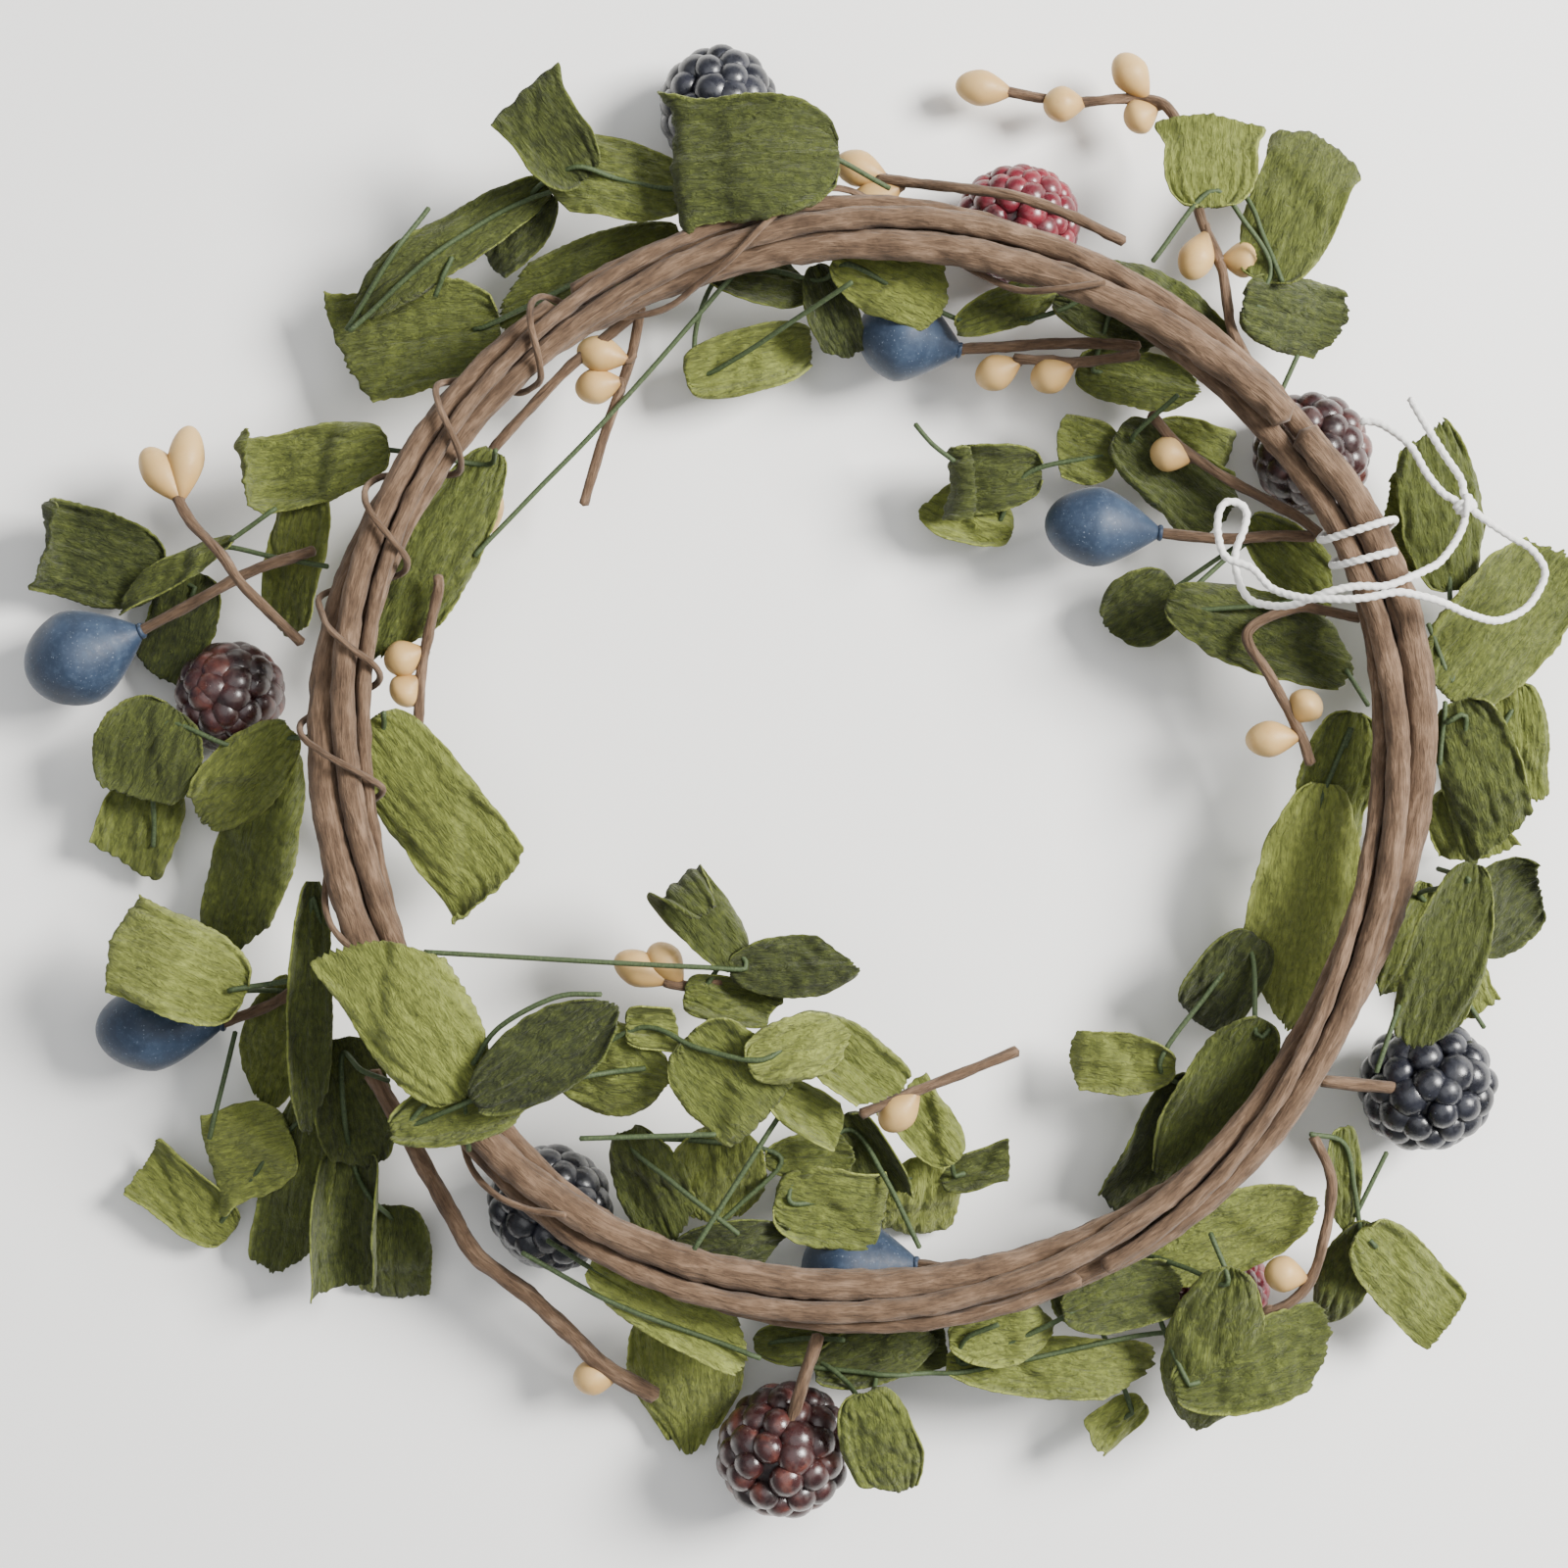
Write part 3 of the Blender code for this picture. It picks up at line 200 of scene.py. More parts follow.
# Sprays of paper leaves on green wire: name, where the wire leaves the ring, then its leaves:
# base, tip, width, cupping across and curl at the tip in degrees, and how blunt the tip is
SPRAYS = [
    ("top_outer", (88, 8, 33), [
        ((93, 13, 35), (108.5, 17, 36), 23, -25, -120, 0.6),
        ((107.5, 13, 29), (120, 31, 27), 16, -20, 0, 0.4),
        ((116, 22, 27), (117.5, 42, 31), 14, 15, 0, 0.6),
        ((119, 26, 24), (139.5, 33, 17), 11, -15, 0, 0.2),
        ((119, 24, 22), (127.5, 20, 16), 10, 20, 0, 0.3),
    ]),
    ("top_under", (109.5, 8, 24), [
        ((109.5, 8, 19), (130.5, 14, 13), 13, -25, 0, 0.3),
        ((130, 10, 18), (143, 31, 11), 22, 35, 30, 0.8),
    ]),
    ("upper_left", (140, -8, 28), [
        ((140, -7, 26), (170.5, -2, 22), 16, -30, 0, 0.2),
        ((146.5, 9, 25), (155, 29, 20), 15, -15, 170, 0.5),
        ((150.5, 21, 21), (168, 16, 13), 12, -20, 0, 0.3),
    ]),
    ("left_drop", (160, 9, 26), [
        ((160.5, 29, 18), (168.5, 51, 12), 6, -60, 0, 0.3),
        ((165, 42, 12), (165, 65, 14), 19, -20, 150, 0.6), ((164, 35, 8), (173, 39, 5), 15, 25, 0, 0.4),
    ]),
    ("left_fold", (174, -8, 29), [
        ((175, -5, 25), (198, -24, 18), 20, -30, 130, 0.5),
        ((176.5, 10, 23), (185.5, 31, 14), 15, -20, 0, 0.3),
        ((178.5, 12, 17), (198, 33, 8), 16, -35, 0, 0.2),
        ((175.5, 33, 16), (182.5, 44, 13), 21, -20, 60, 0.7),
        ((181, 38, 10), (188, 47, 6), 16, 15, 0, 0.5),
    ]),
    ("over_drop", (201.5, 9, 29), [
        ((200.5, 26, 28), (193, 48, 24), 19, -30, -60, 0.7),
        ((200.5, 18, 17), (209.5, 36, 8), 15, -25, 0, 0.3),
    ]),
    ("lower_left", (200, 8.5, 27), [
        ((192, 7, 25), (214.5, 29, 18), 9, 80, 0, 0.3),
        ((210.5, 23, 16), (221.5, 53, 6), 15, -30, 0, 0.3), ((213, 32, 14), (211, 52, 9), 19, 20, 0, 0.5),
        ((216.5, 55, 7), (209, 62, 6), 14, 110, 0, 0.5),
    ]),
    ("low_cups", (213.5, 9, 27), [
        ((207.5, 14, 22), (219.5, 25, 17), 16, 60, 0, 0.4),
        ((217, 24, 13), (225.5, 43, 9), 21, 200, 0, 0.7), ((223, 26, 9), (229, 41, 4), 15, -30, 0, 0.4),
    ]),
    ("raised_left", (224, 3, 43), [
        ((219.5, -4, 47), (197, -1, 49), 21, -35, -30, 0.4),
        ((217.5, 11, 44), (225, -18, 45), 13, 20, 0, 0.2),
        ((220.5, -5, 50), (223.5, -37, 54), 15, -25, 0, 0.15),
    ]),
    ("raised_right", (250, -5, 44), [
        ((253.5, -38, 46), (266.5, -32, 44), 11, 130, 0, 0.4),
        ((253, -51, 49), (275, -38, 48), 13, 60, 0, 0.2),
        ((247.5, -41, 53), (265, -51, 51), 12, -20, 0, 0.4),
        ((236, -40, 50), (254, -32, 47), 19, -25, 0, 0.6),
        ((227, -34, 46), (235, -40, 46), 11, 160, 0, 0.6),
        ((223.5, -19, 44), (238, -32, 46), 18, -30, 0, 0.3),
    ]),
    ("low_centre", (254.5, -8, 29), [
        ((236.5, -17, 27), (248.5, -1, 17), 14, -25, 0, 0.3),
        ((247.5, -25, 25), (251.5, -8, 15), 19, 20, 0, 0.6),
        ((255.5, -22, 22), (267.5, -25, 20), 9, -20, 0, 0.3),
        ((248.5, 0, 20), (261.5, -9, 21), 10, 25, 0, 0.3),
    ]),
    ("low_centre_roll", (276, -8, 29), [
        ((266, -32, 19), (273, -17, 13), 15, 165, 0, 0.8),
        ((258, -15, 14), (272.5, -13, 9), 16, 20, 0, 0.4),
        ((279, -23, 16), (276, -5, 8), 15, -25, 0, 0.4),
        ((282.5, -22, 20), (276, -36, 18), 11, -40, 60, 0.5),
        ((280, -18, 13), (290.5, -19, 14), 8, 95, 0, 0.5),
    ]),
    ("inner_wire", (203, -9, 29), [
        ((236, -53, 27), (269.5, -62, 25), 12, -20, 0, 0.2),
        ((237.5, -55, 26), (212, -57, 30), 12, -20, 200, 0.5),
        ((231.5, -44, 22), (250.5, -50, 21), 12, 150, 0, 0.5),
    ]),
    ("bottom_left", (236, 8.5, 30), [
        ((241, 9, 28), (259.5, 15, 24), 12, -20, 0, 0.2),
        ((250.5, 8, 26), (255.5, 38, 11), 23, -25, 0, 0.25),
    ]),
    ("bottom_mid", (267.5, 9, 28), [
        ((259, 14, 16), (270, 10, 14), 10, 25, 0, 0.3), ((265, 17, 20), (277.5, 10, 17), 12, -30, 0, 0.3),
        ((269.5, 18, 14), (272.5, 41, 6), 15, -30, 0, 0.35),
        ((270.5, 13, 17), (277.5, 12, 15), 12, 20, 0, 0.5),
    ]),
    ("bottom_right", (283, 9, 28), [
        ((278, 11, 24), (289, 13, 21), 12, -20, 0, 0.3),
        ((277.5, 16, 19), (296.5, 31, 15), 12, 25, 0, 0.2),
        ((289.5, 10, 26), (301, 15, 23), 13, -25, 0, 0.3),
        ((292.5, 4, 18), (292.5, 18, 12), 14, 20, 0, 0.4),
        ((293.5, 35, 14), (288.5, 38, 11), 8, -30, 120, 0.4),
    ]),
    ("bottom_front", (306, 9, 31), [
        ((305.5, 16, 35), (296, 44, 16), 19, -35, 0, 0.3),
        ((297.5, 8, 23), (315.5, 20, 20), 16, 20, 0, 0.4),
        ((296, 32, 13), (309.5, 41, 10), 17, -25, 0, 0.3),
    ]),
    ("right_curl", (320, 9, 29), [
        ((322.5, 14, 25), (315, 29, 16), 8, -60, 0, 0.4),
        ((317.5, 30, 20), (309, 40, 13), 10, -30, 0, 0.3),
        ((316.5, 29, 24), (316, 56, 12), 15, -50, 60, 0.5),
    ]),
    ("right_inner", (326.5, -9, 29), [
        ((327, -11, 28), (304.5, 0, 16), 17, -30, 0, 0.25),
        ((336, -18, 20), (321, -19, 13), 15, 90, 0, 0.4),
        ((315.5, -17, 18), (304, -31, 12), 12, 20, 0, 0.3),
        ((317, -11, 13), (299.5, 3, 7), 17, 25, 0, 0.4),
    ]),
    ("inner_right", (2, -9, 29), [
        ((6, -7, 26), (349, -12, 18), 15, -25, 0, 0.4),
        ((357.5, -13, 22), (326, -3, 11), 22, -30, 0, 0.25),
    ]),
    ("right_outer", (349.5, 9, 30), [
        ((350.5, 13, 29), (332.5, 16, 19), 15, 40, 0, 0.25),
        ((348, 9, 21), (335.5, 9, 16), 9, -30, 0, 0.3),
        ((343.5, 21, 16), (350, 31, 12), 16, -20, 90, 0.5),
        ((342, 20, 11), (337.5, 29, 7), 11, -20, 0, 0.4),
    ]),
    ("right_roll", (4, 9, 31), [
        ((6, 12, 31), (352.5, 22, 22), 16, -50, 80, 0.5),
        ((358, 12, 20), (350.5, 21, 13), 15, -30, 0, 0.4),
        ((7, 26, 17), (356.5, 28, 11), 11, -35, 0, 0.4),
    ]),
    ("right_top", (14, 9, 29), [
        ((7, 9, 28), (17, 40, 18), 22, -20, 0, 0.6), ((16.5, 16, 24), (31.5, 26, 22), 17, -30, 0, 0.5),
        ((19.5, 25, 16), (26.5, 11, 12), 18, 30, 0, 0.5),
    ]),
    ("under_string", (20, -9, 27), [
        ((28.5, -35, 24), (11, -4, 21), 16, -25, 0, 0.3),
        ((32.5, -13, 20), (18, -4, 19), 12, -20, 0, 0.3),
        ((29.5, -31, 13), (29.5, -46, 8), 15, 25, 0, 0.4),
    ]),
    ("inner_top_right", (50, -9, 28), [
        ((53, -20, 21), (35, -16, 15), 15, -25, 0, 0.4), ((49, -15, 15), (39.5, -7, 11), 10, 20, 0, 0.4),
        ((50.5, -24, 16), (60, -28, 14), 13, -20, 0, 0.4),
        ((59, -34, 13), (73.5, -43, 12), 14, -30, 190, 0.6), ((58, -46, 9), (79, -48, 8), 12, 60, 0, 0.4),
    ]),
    ("top_right", (60.5, 9, 29), [
        ((58.5, 23, 29), (62, 39, 25), 18, -30, 0, 0.5), ((50.5, 19, 22), (54, 51, 14), 18, -30, 0, 0.4),
        ((51, 13, 25), (42.5, 25, 15), 15, -30, 0, 0.4),
    ]),
    ("top_inner", (92, -9, 27), [
        ((115, -17, 11), (96.5, -17, 9), 15, 120, 0, 0.5),
        ((108, 0, 17), (95.5, -8, 13), 12, -20, 0, 0.3), ((96, -4, 20), (92.5, -21, 13), 10, 20, 0, 0.3),
        ((94, -4, 22), (80.5, -11, 18), 14, -20, 0, 0.3), ((78.5, -15, 20), (68, -2, 15), 8, 20, 0, 0.3),
        ((68, -4, 17), (54.5, 1, 13), 9, 20, 0, 0.3), ((64.5, 5, 21), (47.5, 6, 14), 12, -20, 0, 0.3),
        ((62, -13, 13), (48, -3, 11), 11, -25, 0, 0.4),
    ]),
]


def place(spot):
    """A point in metres from an angle round the ring, a distance out from it and a height."""
    angle, out, height = spot
    reach = RING_RADIUS + out
    turn = math.radians(angle)
    return Vector((reach * math.cos(turn), reach * math.sin(turn), height)) * MM


def upward(distance):
    """A step straight up, its length in millimetres."""
    return Vector((0, 0, distance * MM))


def smooth_route(points, spacing):
    """Points about `spacing` metres apart on a smooth curve through the given ones."""
    ends = [points[0] * 2 - points[1]] + list(points) + [points[-1] * 2 - points[-2]]
    route = []
    for a, b, c, d in zip(ends, ends[1:], ends[2:], ends[3:]):
        steps = max(1, round((c - b).length / spacing))
        for i in range(steps):
            t = i / steps
            route.append(0.5 * (2 * b + (c - a) * t + (2 * a - 5 * b + 4 * c - d) * t ** 2
                                + (3 * b - a - 3 * c + d) * t ** 3))
    return route + [points[-1]]


def bundle_frame(angle):
    """Centre of the ring's bundle at an angle, and its outward direction."""
    turn = math.radians(angle)
    out = Vector((math.cos(turn), math.sin(turn), 0))
    wobble = RING_WOBBLE * (0.6 * math.sin(3 * turn + 0.5) + 0.4 * math.sin(5 * turn))
    height = RING_HEIGHT + 0.8 * math.sin(2 * turn + 1)
    return (out * (RING_RADIUS + wobble) + Vector((0, 0, height))) * MM, out


def on_bundle(angle, distance, around):
    """A point beside the bundle: `distance` mm from its centre, `around` degrees about it."""
    centre, out = bundle_frame(angle)
    lean = math.radians(around)
    return centre + (out * math.cos(lean) + Vector((0, 0, math.sin(lean)))) * distance * MM


def bundle_twist(angle):
    """How far the strands have turned about each other at this angle round the ring."""
    return BUNDLE_TWISTS * angle


def hug(angle, around, radius):
    """How far from the bundle's centre a thread of `radius` mm sits when wound round it."""
    furthest = 0.0
    for _name, thick, distance, phase in STRANDS:
        lean = math.radians(around - phase - bundle_twist(angle))
        reach = thick + radius + WINDING_GAP
        offset = distance * math.sin(lean)
        if abs(offset) < reach:
            far = distance * math.cos(lean) + math.sqrt(reach ** 2 - offset ** 2)
            furthest = max(furthest, far)
    return furthest


def wound(start, end, turns, radius, phase, step=40):
    """Points of a thread wound round the bundle from one ring angle to another."""
    count = max(2, round(360 * turns / step))
    points = []
    for i in range(count + 1):
        angle = start + (end - start) * i / count
        around = phase + 360 * turns * i / count
        distance = max(hug(angle, around + d, radius) * math.cos(math.radians(d))
                       for d in (-24, -12, 0, 12, 24))
        points.append(on_bundle(angle, distance + 0.6, around))
    return points


# ---- small tools -------------------------------------------------------------------------

def centre_of(node):
    """The middle of a solid's box, in metres."""
    low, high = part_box(node)
    return (low + high) / 2


# The table places count from the ring's middle; the first berry shows where that lies
FIRST = BERRIES[0]
OFFSET = centre_of(FIRST[0]) - place((*FIRST[1], FIRST[2] + FIRST[3]))


def at(spot):
    """A place in the wreath's own frame, in metres."""
    return place(spot) + OFFSET


def cad_tree(node):
    """A search tree of a solid's corners."""
    corners = frame["nodes"][node].data.vertices
    tree = KDTree(len(corners))
    for index, corner in enumerate(corners):
        tree.insert(corner.co, index)
    tree.balance()
    return tree


def rise_of(points, tree, reach):
    """How far the solid was raised to clear its neighbours, from the points it was made on."""
    least, best, far = 1e9, 0, 0.003
    for step in sorted(range(-reach, reach + 1), key=abs):
        lift = upward(step)
        miss = sum(min(tree.find(point + lift)[2], far) for point in points) / len(points)
        if miss < least - 1e-5:
            least, best = miss, step
    return upward(best)


class Wave:
    """A smooth made-up ripple: a few sines with set phases."""

    def __init__(self, seed, scales):
        pick = np.random.default_rng(seed)
        self.terms = [(scale, pick.uniform(0, math.tau), pick.uniform(0, math.tau),
                       pick.uniform(0.7, 1.3)) for scale in scales]

    def __call__(self, x, y=0.0):
        total = 0.0
        for scale, phase, slant, weight in self.terms:
            total = total + weight * np.sin((x * math.cos(slant) + y * math.sin(slant))
                                            * math.tau / scale + phase)
        return total / len(self.terms)


def add_object(name, data):
    """A new object in the scene."""
    item = bpy.data.objects.new(name, data)
    bpy.context.scene.collection.objects.link(item)
    return item


def new_piece(name, corners, faces, material, body, coords, tones):
    """A mesh piece that rides on a body, with the coordinates its material reads."""
    mesh = bpy.data.meshes.new(name)
    mesh.from_pydata([tuple(c) for c in corners], [], faces)
    mesh.update()
    layer = mesh.uv_layers.new(name="grain")
    layer.data.foreach_set("uv", np.asarray(coords, np.float32).ravel())
    layer = mesh.attributes.new("tone", "FLOAT", "POINT")
    layer.data.foreach_set("value", np.asarray(tones, np.float32))
    mesh.polygons.foreach_set("use_smooth", [True] * len(mesh.polygons))
    mesh.materials.append(material)
    item = add_object(name, mesh)
    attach(item, body)
    return item


class Build:
    """Corners, faces, grain coordinates and tones of one piece as it grows."""

    def __init__(self):
        self.corners, self.faces, self.coords, self.tones = [], [], [], []

    def add(self, corners, faces, coords, tone=0.5):
        start = len(self.corners)
        self.corners += [tuple(c) for c in corners]
        self.faces += [[start + i for i in face] for face in faces]
        self.coords += list(coords)
        self.tones += list(tone) if hasattr(tone, "__len__") else [tone] * len(corners)

    def piece(self, name, material, body):
        return new_piece(name, self.corners, self.faces, material, body,
                         self.coords, self.tones)


def sweep(build, points, radius, sides, profile=None, tone=0.5, dome=0.5):
    """A capped tube along the points; profile(angle, run in mm) scales its radius."""
    points = [Vector(p) for p in points]
    ahead = (points[1] - points[0]).normalized()
    normal = ahead.orthogonal().normalized()
    corners, run, runs = [], 0.0, []
    for index, point in enumerate(points):
        behind = points[max(index - 1, 0)]
        beyond = points[min(index + 1, len(points) - 1)]
        ahead = (beyond - behind).normalized()
        normal = (normal - ahead * normal.dot(ahead)).normalized()
        aside = ahead.cross(normal)
        if index:
            run += (point - points[index - 1]).length / MM
        runs.append(run)
        for j in range(sides):
            turn = math.tau * j / sides
            reach = radius * MM * (profile(turn, run) if profile else 1.0)
            corners.append(point + (normal * math.cos(turn) + aside * math.sin(turn)) * reach)
    faces, coords = [], []
    girth = math.tau * radius
    for i in range(len(points) - 1):
        for j in range(sides):
            k = (j + 1) % sides
            faces.append([i * sides + j, i * sides + k, (i + 1) * sides + k, (i + 1) * sides + j])
            low, high = girth * j / sides, girth * (j + 1) / sides
            coords += [(runs[i] / 10, low / 10), (runs[i] / 10, high / 10),
                       (runs[i + 1] / 10, high / 10), (runs[i + 1] / 10, low / 10)]
    for end, inner in ((0, 1), (len(points) - 1, len(points) - 2)):
        out = (points[end] - points[inner]).normalized()
        tip = len(corners)
        corners.append(points[end] + out * radius * MM * dome)
        for j in range(sides):
            k = (j + 1) % sides
            ring = [end * sides + k, end * sides + j, tip]
            faces.append(ring if end == 0 else [ring[1], ring[0], ring[2]])
            coords += [(runs[end] / 10, girth * j / sides / 10)] * 3
    build.add(corners, faces, coords, tone)


def tube(name, route, radius, sides, profile, material, body, tone=0.5):
    """A piece that is one swept tube."""
    build = Build()
    sweep(build, route, radius, sides, profile, tone)
    return build.piece(name, material, body)


# ---- materials ---------------------------------------------------------------------------

def opaque(colour):
    """A socket as it is, or a colour or a grey value with full alpha."""
    if isinstance(colour, bpy.types.NodeSocket):
        return colour
    return (*colour, 1.0) if hasattr(colour, "__len__") else (colour, colour, colour, 1.0)


class Shader:
    """One Principled material and the nodes that feed it."""

    def __init__(self, name, roughness, specular=0.5, **constants):
        self.material = bpy.data.materials.new(name)
        self.material.use_nodes = True
        self.tree = self.material.node_tree
        self.shader = self.tree.nodes["Principled BSDF"]
        self.shader.inputs["Roughness"].default_value = roughness
        self.shader.inputs["Specular IOR Level"].default_value = specular
        for key, value in constants.items():
            self.shader.inputs[key.replace("_", " ")].default_value = value

    def node(self, kind, links=(), **values):
        item = self.tree.nodes.new(kind)
        for key, value in values.items():
            setattr(item, key, value)
        for socket, source in links:
            if isinstance(source, bpy.types.NodeSocket):
                self.tree.links.new(source, item.inputs[socket])
            else:
                item.inputs[socket].default_value = source
        return item

    def coords(self, scale=(1, 1, 1), turn=0.0, grain=True):
        """The piece's grain coordinates in centimetres, or its place in metres."""
        if grain:
            source = self.node("ShaderNodeUVMap", uv_map="grain").outputs[0]
        else:
            source = self.node("ShaderNodeTexCoord").outputs["Object"]
        return self.node("ShaderNodeMapping", [("Vector", source), ("Scale", scale),
                                               ("Rotation", (0, 0, turn))]).outputs[0]

    def noise(self, vector, scale, detail=4.0, rough=0.6, distort=0.0):
        return self.node("ShaderNodeTexNoise", [
            ("Vector", vector), ("Scale", scale), ("Detail", detail), ("Roughness", rough),
            ("Distortion", distort)]).outputs["Fac"]

    def ramp(self, value, stops):
        item = self.node("ShaderNodeValToRGB", [(0, value)])
        ramp = item.color_ramp
        while len(ramp.elements) < len(stops):
            ramp.elements.new(0.5)
        for element, (position, colour) in zip(ramp.elements, stops):
            element.position = position
            element.color = opaque(colour)
        return item.outputs[0]

    def mix(self, first, second, factor, blend="MIX"):
        links = [(0, factor), (6, opaque(first)), (7, opaque(second))]
        return self.node("ShaderNodeMix", links, data_type="RGBA", blend_type=blend).outputs[2]

    def maths(self, operation, first, second=0.0):
        return self.node("ShaderNodeMath", [(0, first), (1, second)],
                         operation=operation).outputs[0]

    def tone(self):
        return self.node("ShaderNodeAttribute", attribute_name="tone").outputs["Fac"]

    def relief(self, *layers):
        """Bumps one over another, each given as its height, strength and depth in metres."""
        under = []
        for height, strength, depth in layers:
            links = [("Height", height), ("Strength", strength), ("Distance", depth)]
            under = [("Normal", self.node("ShaderNodeBump", links + under).outputs[0])]
        return under[0][1]

    def finish(self, colour, roughness, normal):
        for socket, source in (("Base Color", colour), ("Roughness", roughness),
                               ("Normal", normal)):
            self.tree.links.new(source, self.shader.inputs[socket])
        return self.material


def paper_material(name, dark, middle, light):
    """Crinkled mulberry paper: lengthwise fibres, a mottled dye and pale torn fibres."""
    make = Shader(name, 0.8, 0.25, Sheen_Weight=0.12, Sheen_Roughness=0.5)
    fibres = make.noise(make.coords((1.2, 9, 1)), 4.0, 8.0, 0.7, 0.6)
    crepe = make.noise(make.coords((1.3, 4.6, 1)), 2.1, 5.0, 0.55, 1.8)
    mottle = make.noise(make.coords((3, 3, 1)), 2.0, 4.0, 0.6)
    fine = make.noise(make.coords((14, 30, 1)), 3.0, 4.0, 0.7)
    dye = make.ramp(make.maths("ADD", make.maths("MULTIPLY", mottle, 0.5),
                               make.maths("MULTIPLY", make.tone(), 0.5)),
                    [(0.22, dark), (0.48, middle), (0.80, light)])
    streak = make.ramp(crepe, [(0.32, 0.50), (0.47, 1.0), (0.70, 1.18)])
    colour = make.mix(dye, streak, 0.6, "MULTIPLY")
    pale = make.ramp(fibres, [(0.55, 0.0), (0.76, 0.22)])
    colour = make.mix(colour, tuple(min(1.0, c * 1.9 + 0.03) for c in light), pale)
    rough = make.ramp(fine, [(0.3, 0.72), (0.7, 0.92)])
    normal = make.relief((crepe, 0.95, 0.0017), (fibres, 0.55, 0.0005), (fine, 0.35, 0.00015))
    return make.finish(colour, rough, normal)


def bark_material(name, dark, middle, light, turn):
    """Brown crepe paper wound on a wire: fine slanting fibres and folded seams."""
    make = Shader(name, 0.8, 0.25, Sheen_Weight=0.1, Sheen_Roughness=0.5)
    slant = make.coords((1.0, 7.0, 1), turn)
    fibres = make.noise(slant, 5.0, 8.0, 0.65, 0.4)
    folds = make.noise(make.coords((0.5, 3.2, 1), turn * 0.35), 2.4, 4.0, 0.55, 0.9)
    fine = make.noise(make.coords((10, 28, 1), turn), 4.0, 3.0, 0.7)
    mottle = make.noise(make.coords((1, 1, 1)), 1.6, 3.0)
    base = make.ramp(make.maths("ADD", make.maths("MULTIPLY", folds, 0.6),
                                make.maths("MULTIPLY", mottle, 0.4)),
                     [(0.3, dark), (0.5, middle), (0.68, light)])
    streak = make.ramp(fibres, [(0.34, 0.55), (0.5, 1.0), (0.68, 1.25)])
    colour = make.mix(base, streak, 0.8, "MULTIPLY")
    rough = make.ramp(fine, [(0.3, 0.74), (0.7, 0.92)])
    normal = make.relief((folds, 0.7, 0.0009), (fibres, 0.6, 0.00045), (fine, 0.3, 0.00012))
    return make.finish(colour, rough, normal)


def berry_material(name, deep, flesh, glow, bloom):
    """Waxy drupelets: painted shade on each drupelet's side towards its neighbours and on the core
    between them, a deeper or redder flush on each, and a dusty bloom.
    """
    make = Shader(name, 0.3, 0.5, Coat_Weight=0.35, Coat_Roughness=0.22)
    where = make.coords(grain=False)
    flush = make.noise(where, 160.0, 4.0, 0.6, 0.5)
    dust = make.noise(where, 420.0, 6.0, 0.75, 0.4)
    speck = make.noise(where, 1500.0, 2.0, 0.6)
    body = make.ramp(flush, [(0.32, deep), (0.55, flesh), (0.72, glow)])
    # Painted shade: the tone turns each drupelet to the deep colour on its side towards its neighbours
    # and the core, and the core itself is deep all over
    body = make.mix(deep, body, make.ramp(make.tone(), [(0.15, 0.0), (0.75, 1.0)]))
    dusted = make.ramp(dust, [(0.52, 0.0), (0.74, 0.42)])
    colour = make.mix(body, bloom, dusted)
    flecks = make.ramp(speck, [(0.70, 0.0), (0.76, 0.55)])
    colour = make.mix(colour, tuple(min(1.0, c * 2.5) for c in bloom), flecks)
    rough = make.ramp(dust, [(0.4, 0.22), (0.7, 0.62)])
    return make.finish(colour, rough, make.relief((dust, 0.25, 0.0003)))


def drop_material(name):
    """Matte blue skin with a pale speckle and a cloudy bloom."""
    make = Shader(name, 0.55, 0.4, Sheen_Weight=0.15, Sheen_Roughness=0.4)
    where = make.coords(grain=False)
    cloud = make.noise(where, 110.0, 5.0, 0.6, 0.8)
    dust = make.noise(where, 900.0, 5.0, 0.7)
    speck = make.noise(where, 2200.0, 1.0, 0.5)
    body = make.ramp(cloud, [(0.3, (0.014, 0.025, 0.048)), (0.55, (0.023, 0.040, 0.074)),
                             (0.75, (0.041, 0.067, 0.110))])
    body = make.mix(body, (0.10, 0.145, 0.215), make.ramp(dust, [(0.5, 0.0), (0.75, 0.30)]))
    colour = make.mix(body, (0.30, 0.36, 0.44), make.ramp(speck, [(0.69, 0.0), (0.76, 0.35)]))
    rough = make.ramp(dust, [(0.35, 0.48), (0.7, 0.68)])
    return make.finish(colour, rough, make.relief((dust, 0.3, 0.00012)))


def pip_material(name):
    """Ochre skin, paler towards the round end and freckled."""
    make = Shader(name, 0.5, 0.4, Subsurface_Weight=0.04, Subsurface_Scale=0.001)
    where = make.coords(grain=False)
    cloud = make.noise(where, 260.0, 4.0, 0.6)
    dust = make.noise(where, 1600.0, 4.0, 0.7)
    body = make.ramp(make.tone(), [(0.0, (0.28, 0.15, 0.05)), (0.22, (0.50, 0.310, 0.110)),
                                   (0.8, (0.59, 0.390, 0.160))])
    body = make.mix(body, (0.46, 0.26, 0.075), make.ramp(cloud, [(0.5, 0.0), (0.75, 0.55)]))
    colour = make.mix(body, (0.38, 0.20, 0.08), make.ramp(dust, [(0.62, 0.0), (0.75, 0.4)]))
    rough = make.ramp(dust, [(0.35, 0.4), (0.7, 0.6)])
    return make.finish(colour, rough, make.relief((dust, 0.25, 0.0001)))


def string_material(name):
    """White cotton: fine fibres along each ply."""
    make = Shader(name, 0.9, 0.15, Sheen_Weight=0.4, Sheen_Roughness=0.6)
    fibres = make.noise(make.coords((3.0, 20, 1), 0.5), 6.0, 6.0, 0.7)
    colour = make.ramp(fibres, [(0.3, (0.62, 0.60, 0.56)), (0.55, (0.86, 0.85, 0.82)),
                                (0.8, (0.93, 0.92, 0.90))])
    return make.finish(colour, make.ramp(fibres, [(0.3, 0.82), (0.7, 0.97)]),
                       make.relief((fibres, 0.6, 0.0002)))


